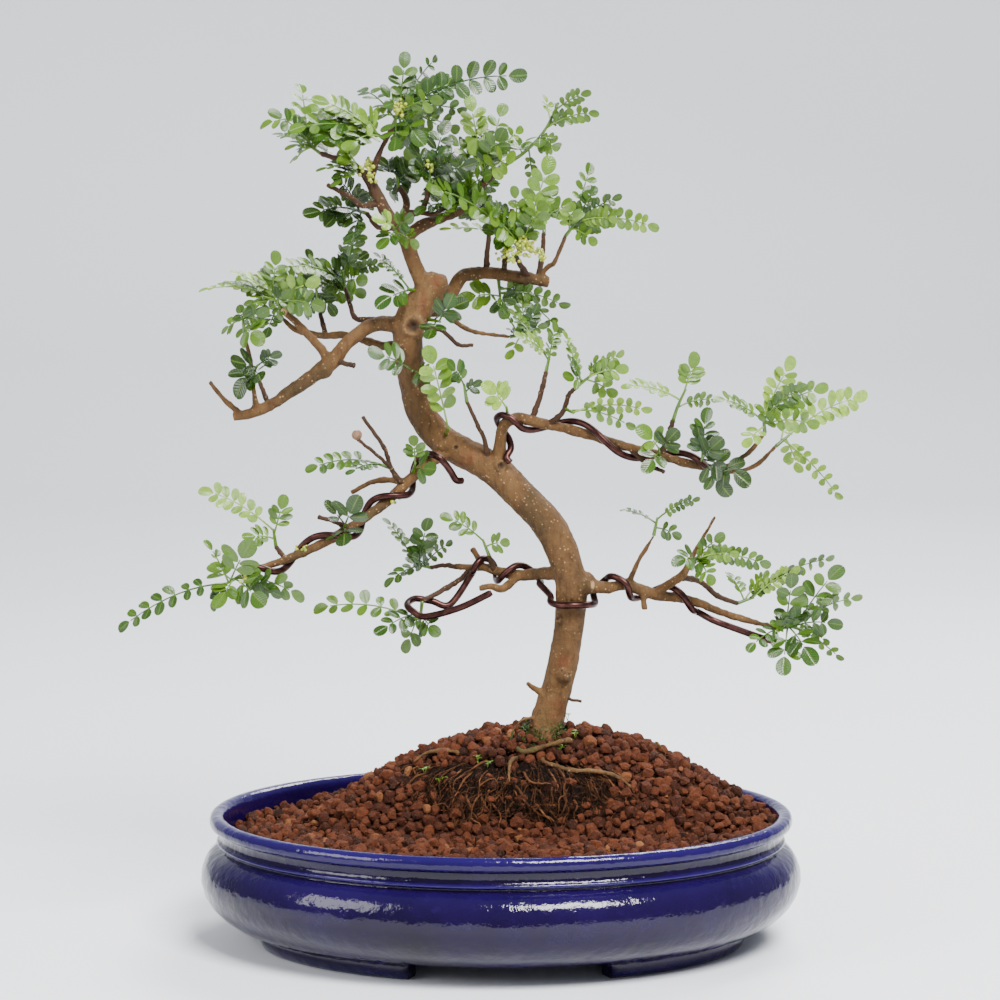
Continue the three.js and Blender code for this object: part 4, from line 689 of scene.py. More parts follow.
twigs = {
    "baseRight": [(26, -3, 105.8, 0.9), (30.5, -3.4, 104.4, 0.7), (34.8, -4, 103.6, 0.6)],
    "leaderLeft": [(-58, -9, 331, 1.9), (-64, -8, 334, 1.6), (-70.3, -6, 337.3, 1.5),
        (-76.7, -3, 339.5, 1.3)],
    "leaderTop": [(-55.5, -8.5, 328, 1.7), (-52.1, -9, 339, 1.4), (-49.1, -9, 344.5, 1.3),
        (-45.8, -8, 352, 1.1)],
    "leaderGrey": [(-42.2, -5, 306, 2.2), (-41.2, -2, 313.5, 1.9), (-40.3, 0, 318.2, 1.8),
        (-41.5, 3, 322.4, 1.5), (-43.5, 5, 325, 1.3)],
    "greySide": [(-40.6, -1, 314.5, 1.4), (-34.4, -6, 314.8, 1.3), (-31.8, -8, 319.9, 1.1),
        (-30.8, -9, 325.5, 1)],
    "greyLow": [(-34.5, -6, 314.6, 1.1), (-29, -9, 313.8, 1), (-24.6, -12, 315.8, 0.9)],
    "leftSmall": [(-51.5, -7.5, 318.5, 1.4), (-59, -11, 317.3, 1.2), (-64.1, -14, 321.1, 1.1),
        (-73.8, -20, 326.2, 0.9)],
    "leftLow": [(-44.5, -6, 308, 1.3), (-52.3, -2, 308.3, 1.1), (-57, 4, 314, 0.9)],
    "upperRightA": [(-6, 20, 289, 1.5), (-6, 21, 296, 1.2), (-4.7, 22, 308.4, 0.9)],
    "upperRightB": [(1, 21.5, 288.5, 1.3), (2.1, 18, 297.8, 1.1), (3.8, 15, 306.3, 1), (4.7, 14, 316, 1)],
    "upperRightC": [(12, 24, 286.5, 1.5), (8.1, 16, 292.7, 1.2), (6, 10, 296.1, 1.1)],
    "upperRightD": [(15.7, 25, 286.5, 1.6), (20, 24, 291.4, 1.3), (23, 22, 293.5, 1.2),
        (27.6, 18, 304.6, 1)],
    "upperRightE": [(16, 25, 287, 1.3), (17.9, 32, 297.8, 1.1), (18.3, 35, 305.4, 0.9)],
    "backRight": [(-38, 4, 271, 2.2), (-28, 9, 271.5, 1.7), (-23.9, 12, 271, 1.5), (-16.7, 15, 266, 1.3),
        (-9.8, 17, 263.3, 1.2), (3.8, 19, 261.6, 0.9)],
    "backLoop": [(-38, 4, 266, 1.6), (-26, 10, 264.5, 1), (-18.4, 13, 258.4, 0.9), (-12, 15, 257.9, 0.8)],
    "upperLeftTip": [(-111, -21, 228, 1.5), (-118.2, -24, 234, 1.3), (-125, -27, 242.5, 1.2)],
    "upperLeftStub": [(-73.5, -8.5, 251, 2.6), (-78, -8, 257.5, 2.1), (-88.8, -5, 268.9, 1.9),
        (-93.8, -4, 273.5, 1.7)],
    "upperLeftA": [(-105, -19.5, 229.5, 1.7), (-106.2, -22, 240.4, 1.3), (-107.3, -24, 251, 1.2),
        (-109.7, -25, 262.5, 1)],
    "upperLeftB": [(-99.5, -17.5, 232, 1.2), (-102, -12, 238.5, 1), (-104, -9, 243, 0.9)],
    "upperLeftSpur": [(-72, -8, 252, 1.3), (-66.5, -11, 250, 1.1), (-63, -12, 249.3, 1.1)],
    "upperLeftC": [(-52, -2, 268, 1.6), (-57, 4, 269, 1.3), (-62.5, 9, 270, 1.1), (-66.8, 14, 282.5, 0.9)],
    "backLeftA": [(-75, 21, 262, 1.2), (-77, 27, 270, 1), (-78, 30, 277, 0.9)],
    "middleRightA": [(90, -16, 205.3, 1.5), (98.4, -18, 206.8, 1.4), (106.1, -21, 211.5, 1.3),
        (113.4, -24, 220.4, 1)],
    "middleRightB": [(91, -16, 205, 1.5), (98.4, -12, 203.6, 1.3), (109.1, -8, 206, 1.2),
        (118.1, -3, 214.5, 1)],
    "middleRightC": [(12.9, -5.5, 225.5, 1.4), (15.9, -2, 233.2, 1.2), (18, 1, 240.4, 1.1),
        (19.3, 3, 246.3, 1)],
    "middleRightD": [(21, -7, 224, 1.4), (26.6, -12, 229.3, 1.1), (28.8, -15, 236.1, 1),
        (32.5, -17, 240.2, 0.9)],
    "middleRightE": [(68.8, -14, 210.5, 1.4), (71.8, -17, 219.1, 1.1), (73.9, -19, 225.5, 1)],
    "middleRightF": [(55.5, -12, 213.5, 1.2), (63.2, -18, 206.8, 1), (70.1, -22, 203.4, 0.8)],
    "trunkTwig": [(-5, 4, 206, 1.5), (-6.9, -3, 217, 1), (-9.9, -7, 223.4, 0.9), (-14.6, -12, 233.6, 0.8)],
    "middleLeftStub": [(-40.4, -5.5, 199, 1.9), (-47.7, -2, 200, 1.7), (-55.5, 1, 199.1, 1.4),
        (-64.5, 4, 194.5, 1.1)],
    "middleLeftBare": [(-42.5, -7, 198.5, 1.4), (-47.3, -12, 205.1, 1), (-50.3, -15, 214, 0.9),
        (-59.3, -20, 227.2, 0.8)],
    "huskTwig": [(-46.5, -11.5, 204.3, 0.9), (-51, -18, 208.7, 0.8), (-61.4, -24.2, 217.4, 0.7)],
    "middleLeftSide": [(-66, -16, 179, 1.2), (-71, -22, 181.7, 0.9), (-78.5, -26, 184, 0.9)],
    "middleLeftUp": [(-93, -24.5, 165.5, 1.1), (-97, -20, 171, 1)],
    "lowerLeftFork": [(6.5, 9, 157.5, 2), (0.9, 6, 152.9, 1.8), (-4.7, 5, 153.9, 1.6),
        (-9.5, 4.5, 152.9, 1.4)],
    "lowerLeftStub": [(-7.2, 16, 162, 1.6), (-12.5, 19, 170.4, 1.3)],
    "lowerLeftLong": [(-12.5, 17.8, 162, 1.4), (-16.8, 20, 157.5, 1.2), (-23.2, 17, 153.2, 1.2),
        (-34, 3, 147.5, 1)],
    "lowerLeftUp": [(-3, 13.5, 161, 1.3), (-5, 11, 167, 1)],
    "lowerLeftEnd": [(-18, 20, 162.4, 1.2), (-25, 23, 163, 1), (-30, 25, 162, 0.9)],
    "lowerRightFork": [(66, 0, 150.5, 2.2), (73.7, -4, 155.5, 2), (78.8, -6, 159.4, 1.8),
        (84.3, -9, 169.9, 1.3), (92.4, -13, 184.3, 0.8)],
    "lowerRightUp": [(55, -2, 154.5, 1.6), (59, -6, 164.2, 1.2), (62.4, -9, 169.9, 1.1),
        (65.9, -11, 176, 0.9)],
    "lowerRightBack": [(77, -5.2, 158, 1.5), (86, 5, 156, 1.2), (93.6, 12, 149.7, 1.2),
        (102.1, 17, 146.5, 1)],
    "lowerRightHang": [(61, -1.5, 151.5, 1.6), (62, -3, 143.8, 1.3)],
    "cutStub": [(30, -6, 152, 3.4), (35.5, -10, 154, 3.1), (39.3, -12.5, 154.6, 2.7)],
    "lowStub": [(20, -0.5, 106, 1.8), (13.8, -4, 109.7, 1.4), (11.2, -5, 111.9, 1)],
}
roots = [
    [(19, 0, 84, 4), (5, -4, 79, 2.4), (-10, -6, 77, 2), (-17, -9, 80.5, 1.7), (-24, -8, 82, 1.6),
     (-32, -9, 81, 1.4), (-38, -10, 77, 1.1)],
    [(19, 0, 84, 4), (28, -8, 84, 2.2), (30, -13, 86.5, 1.9), (24, -16, 85.4, 1.8), (17, -17, 83.2, 1.8),
     (10, -18, 81.4, 1.8), (6.5, -17, 83.6, 1.4)],
    [(19, 0, 84, 4), (19, -12, 79, 2.2), (19, -20.5, 77, 1.9), (30, -25, 73.4, 1.8), (40, -25.5, 73, 1.7),
     (50, -24, 70.6, 1.5), (58.5, -25, 64.5, 1.1)],
    [(19, 0, 84, 4), (9, -14, 79.5, 1.8), (4.5, -22.5, 77.5, 1.5), (3.5, -29, 72, 1.3), (4, -32, 66, 1)],
    [(19, 0, 84, 4), (45, 4, 79, 2), (64, 4, 75, 1.4), (71.5, 3, 80, 1.1), (67, 1, 86, 0.9)],
    [(17, -1, 97, 1.6), (9.5, -6, 95.5, 1.1), (6, -9, 92, 1), (4, -10, 86, 1)],
]


# Tree
bark = {
    "voxel": 0.00065, "relief": 0.00055, "twigWobble": 0.00018, "seed": 5,
    "olive": (0.046, 0.025, 0.006), "grey": (0.104, 0.048, 0.0135), "tan": (0.14, 0.072, 0.023),
    "red": (0.115, 0.03, 0.009), "crack": (0.022, 0.0105, 0.0035),
    "young": (0.028, 0.01, 0.0045), "pale": (0.28, 0.17, 0.075), "stain": (0.12, 0.024, 0.006),
    "cut": (0.36, 0.22, 0.1), "hollowDark": (0.004, 0.0016, 0.0006), "hollowEdge": (0.05, 0.02, 0.006),
    "moss": (0.025, 0.04, 0.005),
}
thickTwigs = [
    "leaderLeft", "leaderTop", "leaderGrey", "upperRightD", "backRight", "upperLeftStub", "upperLeftA",
    "upperLeftTip", "middleRightA", "middleRightB", "middleLeftStub", "lowerLeftFork", "lowerLeftStub",
    "lowerRightFork", "lowerRightUp", "lowerRightHang", "cutStub", "lowStub",
]
# Swellings in the wood: [x, depth, z, radius].
scars = [
    (27.5, -8.6, 114.6, 3.2), (25, -9.2, 139, 2.2), (-37, -3.5, 267, 4), (-33, 1.5, 240, 3.4),
    (-25.5, 2.5, 215.5, 3.6), (-1, -0.5, 207, 3.2), (-76, -9.5, 247.5, 4.2), (36.5, -3, 156, 4.6),
]
# Hollow scars, pale cut faces and red stains on the bark's front: [x, z, radius].
hollows = [
    (-38.8, 265.8, 4.2), (-34, 241.4, 2.9), (1.1, 205.7, 2.1), (26.2, 118, 0.9), (29.8, 116.7, 0.9),
    (-32.6, 262, 1.3), (30, 147, 0.9), (-19.8, 215, 1.2), (24.5, 141, 1.1),
]
cutFaces = [(40.7, 155, 2.0), (-93.8, 273.5, 2.0), (42.8, 158, 1.2)]
stains = [(-15, 210.5, 4), (-17.5, 206.5, 3), (26, 121, 4), (25, 100, 6), (-26.6, 284.8, 3), (-26, 228, 3)]


def barkMaterial():
    material, tree, shader, _ = newMaterial("bark")
    broad = noiseOf(tree, 45, 5, 0.6, stretch=(1, 1, 0.5))
    fine = noiseOf(tree, 420, 5, 0.65, stretch=(1, 1, 0.35))
    colour = ramp(tree, broad, [
        (0.3, bark["olive"]), (0.5, bark["grey"]), (0.64, bark["tan"]), (0.78, bark["red"])])
    # The inside of each hollow scar is coloured near black, blending in from its rim.
    hollowDark = ramp(tree, fine, [(0.4, bark["hollowDark"]), (0.65, bark["hollowEdge"])])
    speck = scaled(tree, noiseOf(tree, 520, specks=True), 1, 0, 0.13, 0.24)
    patch = scaled(tree, noiseOf(tree, 90, 3, 0.5), 0, 1, 0.42, 0.6)
    stain = scaled(tree, fine, 0.3, 1, 0.4, 0.6)
    moss = scaled(tree, noiseOf(tree, 130, 4, 0.6), 0, 1, 0.45, 0.6)
    for factor, over in (
        (scaled(tree, fine, 0, 0.6, 0.48, 0.7), bark["crack"]),
        (scaled(tree, attribute(tree, "young"), 0, 0.85), bark["young"]),
        (maths(tree, "MULTIPLY", speck, patch), bark["pale"]),
        (maths(tree, "MULTIPLY", attribute(tree, "stained"), stain), bark["stain"]),
        (attribute(tree, "cut"), bark["cut"]),
        (attribute(tree, "hollow"), hollowDark),
        (maths(tree, "MULTIPLY", attribute(tree, "mossy"), moss), bark["moss"]),
    ):
        colour = mixed(tree, factor, colour, over)
    rough = bump(tree, noiseOf(tree, 160, 8, 0.72), 1.0, 0.0018)
    dress(tree, shader, colour, scaled(tree, fine, 0.62, 0.92), bump(tree, fine, 0.8, 0.0007, rough), 0.3)
    return material


barkPaint = barkMaterial()


# The front-most vertex that shows near x and z on the picture plane.
def frontOf(co, x, z):
    scale = 1 + co[:, 1] * 1000 / eye["distance"]
    flatX = (co[:, 0] - potX) * 1000 / scale
    flatZ = eye["height"] + (co[:, 2] * 1000 - eye["height"]) / scale
    near = np.where(np.hypot(flatX - x, flatZ - z) < 1.2)[0]
    return co[near[np.argmin(co[near, 1])]] if len(near) else seen((x, 0, z))


# Limbs, thick twigs, roots and scars, grown together into one skin.
def woodMesh():
    pile = Pile()
    for name, points in limbs.items():
        pile.add(*tubeMesh(*limbPath(points, 6), 26 if name == "trunk" else 16))
    for name in thickTwigs:
        pile.add(*tubeMesh(*limbPath(twigs[name], 5), 12))
    for points in roots:
        pile.add(*tubeMesh(*limbPath(points, 6, 0.72), 12))
    for x, y, z, radius in scars:
        pile.addLump(roundLump(3, radius / 1000), Vector(seen((x, y, z))))
    obj = pile.build("trunkAndLimbs", barkPaint)
    skin = obj.modifiers.new("grownTogether", "REMESH")
    skin.mode = "VOXEL"
    skin.voxel_size = bark["voxel"]
    skin.use_smooth_shade = True
    obj.modifiers.new("even", "SMOOTH").iterations = 3
    return applied(obj)


def barkRelief(p):
    fissure = abs(noise.noise(Vector((p[0] * 260, p[1] * 260, p[2] * 90))))
    return (noise.fractal(Vector(p) * 110, 0.8, 2.2, 4) * 0.6 - fissure) * bark["relief"]


def makeTree():
    obj = woodMesh()
    mesh = obj.data
    co, normal = np.empty((2, len(mesh.vertices) * 3))
    mesh.vertices.foreach_get("co", co)
    mesh.vertices.foreach_get("normal", normal)
    co, normal = co.reshape(-1, 3), normal.reshape(-1, 3)
    co += normal * np.array([barkRelief(p) for p in co])[:, None]
    cut, hollow, stained = np.zeros((3, len(co)))

    def awayFrom(x, z, radius):
        return np.linalg.norm(co - frontOf(co, x, z), axis=1) / (radius / 1000)

    for x, z, radius in hollows:
        away = awayFrom(x, z, radius)
        rim, dent = np.exp(-((away - 1) / 0.32) ** 2), np.clip(1 - away / 0.85, 0, 1)
        co += normal * (rim * radius * 0.00028 - dent * radius * 0.0007)[:, None]
        hollow = np.maximum(hollow, np.clip(dent * 3, 0, 0.9))
        cut = np.maximum(cut, 0.1 * rim)
    for x, z, radius in cutFaces:
        cut = np.maximum(cut, np.clip((1 - awayFrom(x, z, radius)) * radius / 0.6, 0, 1))
    for x, z, radius in stains:
        stained = np.maximum(stained, 0.5 * np.clip(1.3 - awayFrom(x, z, radius), 0, 1))
    mesh.vertices.foreach_set("co", co.ravel())
    height = co[:, 2]
    values = {
        "cut": cut, "hollow": hollow, "stained": stained, "young": np.clip((height - 0.29) / 0.04, 0, 0.9),
        "mossy": np.clip((0.103 - height) / 0.012, 0, 1) * np.clip((height - 0.084) / 0.004, 0, 1) + 0.06,
    }
    for name, value in values.items():
        storeValues(mesh, name, value)
    mesh.materials.clear()
    mesh.materials.append(barkPaint)
    mesh.polygons.foreach_set("use_smooth", [True] * len(mesh.polygons))
    mesh.update()
    finish(obj, ["tree"])
    print("trunk and limbs:", len(mesh.polygons), "faces")


def makeTwigs():
    rng = random.Random(bark["seed"])
    pile = Pile("young")
    for name, points in twigs.items():
        if name in thickTwigs:
            continue
        path, radii = limbPath(points, 7)
        bend = np.array([[rng.uniform(-1, 1) for _ in range(3)] for _ in path]) * bark["twigWobble"]
        bend[0] = bend[-1] = 0
        swell = 1 + 0.22 * np.array([max(0, math.sin(i * 1.9)) ** 6 for i in range(len(path))])
        pile.add(*tubeMesh(path + bend, radii * swell, 9), young=0.9)
    finish(pile.build("fineTwigs", barkPaint), [])
    print("fine twigs made")


makeTree()
makeTwigs()


# Training wires, in mm
wiring = {
    "radius": 1.5, "endRadius": 1.2, "standOff": 0.35,
    "brown": (0.026, 0.0075, 0.006), "paintedSheen": (0.09, 0.034, 0.028),
}
# Each wire runs through free points [x, depth, z] and is wound on limbs: (limb, from and to share of its
# length, from and to degrees), where 0 degrees is the limb's front, 90 its top and 180 its back.
wireRuns = {
    "lower": [
        (-3.9, -3, 151.2), (-17.7, -4, 144.6), (-32.4, -4, 140.7), (-38, -1, 143), (-40.5, 5, 146),
        (-37, 10, 148.5), (-30, 11, 147.5), (-22, 11.5, 146),
        ("lowerLeft", 0.84, 0.28, -60, 650),
        (21.2, -5, 150), (21.6, -8.6, 147), (25.5, -12.8, 145.6), (31.5, -14.6, 145.6),
        (37.6, -11.6, 145.8), (40.6, -5.5, 146.6),
        ("lowerRight", 0.19, 0.74, 220, -460),
        (92, -2.4, 139), (101, -1.2, 135.6), (111, 1, 132), (119, 4, 129.5),
    ],
    "left": [
        (-16.4, -1, 199.6), (-19.3, -3, 200), (-21.6, -5.4, 203.6), (-24.4, -7.4, 207.4),
        (-27.8, -7, 210.4), ("middleLeft", 0.17, 0.94, 75, 1120),
    ],
    "right": [(4, -3.5, 207.5), ("middleRight", 0.12, 0.98, -40, -1080)],
}


# A limb's centre, front, upper side and radius at a share of its length.
def limbFrame(points, t):
    path = spline([seen(p) for p in points], 400 * (len(points) - 1) + 1)
    at = min(int(round(t * (len(path) - 1))), len(path) - 2)
    along = unit(path[at + 1] - path[at])
    front = unit(np.array([0, -1, 0]) + along * along[1])
    up = np.cross(front, along)
    if up[2] < 0:
        up = -up
    radius = np.interp(t * (len(points) - 1), range(len(points)), [p[3] for p in points])
    return path[at], front, up, radius


def wound(limb, fromShare, toShare, fromDegrees, toDegrees):
    count = math.ceil(abs(toDegrees - fromDegrees) / 45)
    turns = []
    for i in range(count + 1):
        t = i / count
        centre, front, up, radius = limbFrame(limbs[limb], fromShare + (toShare - fromShare) * t)
        angle = math.radians(fromDegrees + (toDegrees - fromDegrees) * t)
        out = (radius + wiring["radius"] + wiring["standOff"]) / 1000
        turns.append(centre + front * out * math.cos(angle) + up * out * math.sin(angle))
    return turns


def wireMaterial():
    material, tree, shader, _ = newMaterial("anodisedWire")
    wearAndSheen = noiseOf(tree, 240, 4, 0.6)
    # Pale patches of painted sheen, over brown; the same noise also varies the roughness like wear.
    colour = ramp(tree, wearAndSheen, [(0.4, wiring["brown"]), (0.75, wiring["paintedSheen"])])
    scratches = bump(tree, noiseOf(tree, 700, 3, 0.6), 0.25, 0.0002)
    dress(tree, shader, colour, scaled(tree, wearAndSheen, 0.26, 0.45), scratches)
    shader.inputs["Metallic"].default_value = 0.85
    return material


def makeWires():
    paint = wireMaterial()
    for name, runs in wireRuns.items():
        points = []
        for run in runs:
            points += wound(*run) if isinstance(run[0], str) else [seen(run)]
        path = spline(points, 12 * (len(points) - 1) + 1)
        radii = np.full(len(path), wiring["radius"] / 1000)
        radii[0] = radii[-1] = wiring["endRadius"] / 1000
        pile = Pile()
        pile.add(*tubeMesh(path, radii, 16))
        finish(pile.build("trainingWire" + name, paint), ["wire_" + name])
    print("wires made")


makeWires()


# Leaves
leafing = {
    "shootLength": 8, "shootRadius": 0.85, "ribRadius": (0.00046, 0.00026), "petiole": 0.16, "arch": 0.1,
    "tilt": 62, "steepest": 52, "curl": 0.16, "grow": 1.08, "fill": 0.85, "lead": 0.12, "seed": 21,
    "florets": 13, "clusterSpread": 0.0028, "specular": 0.62, "letThrough": 0.2,
    "dark": (0.0035, 0.015, 0.0025), "mid": (0.015, 0.055, 0.004), "fresh": (0.1, 0.2, 0.011),
    "bright": (0.26, 0.41, 0.05), "rib": (0.09, 0.14, 0.015), "bloom": (0.46, 0.48, 0.035),
    "glow": (0.13, 0.22, 0.006),
}
# Shares of a leaflet's length and half its width: widest past the middle, with a blunt tip.
leafletOutline = [
    (0, 0.05), (0.1, 0.42), (0.24, 0.76), (0.42, 0.96), (0.6, 1), (0.76, 0.93), (0.88, 0.74), (0.96, 0.46),
    (1, 0.18),
]


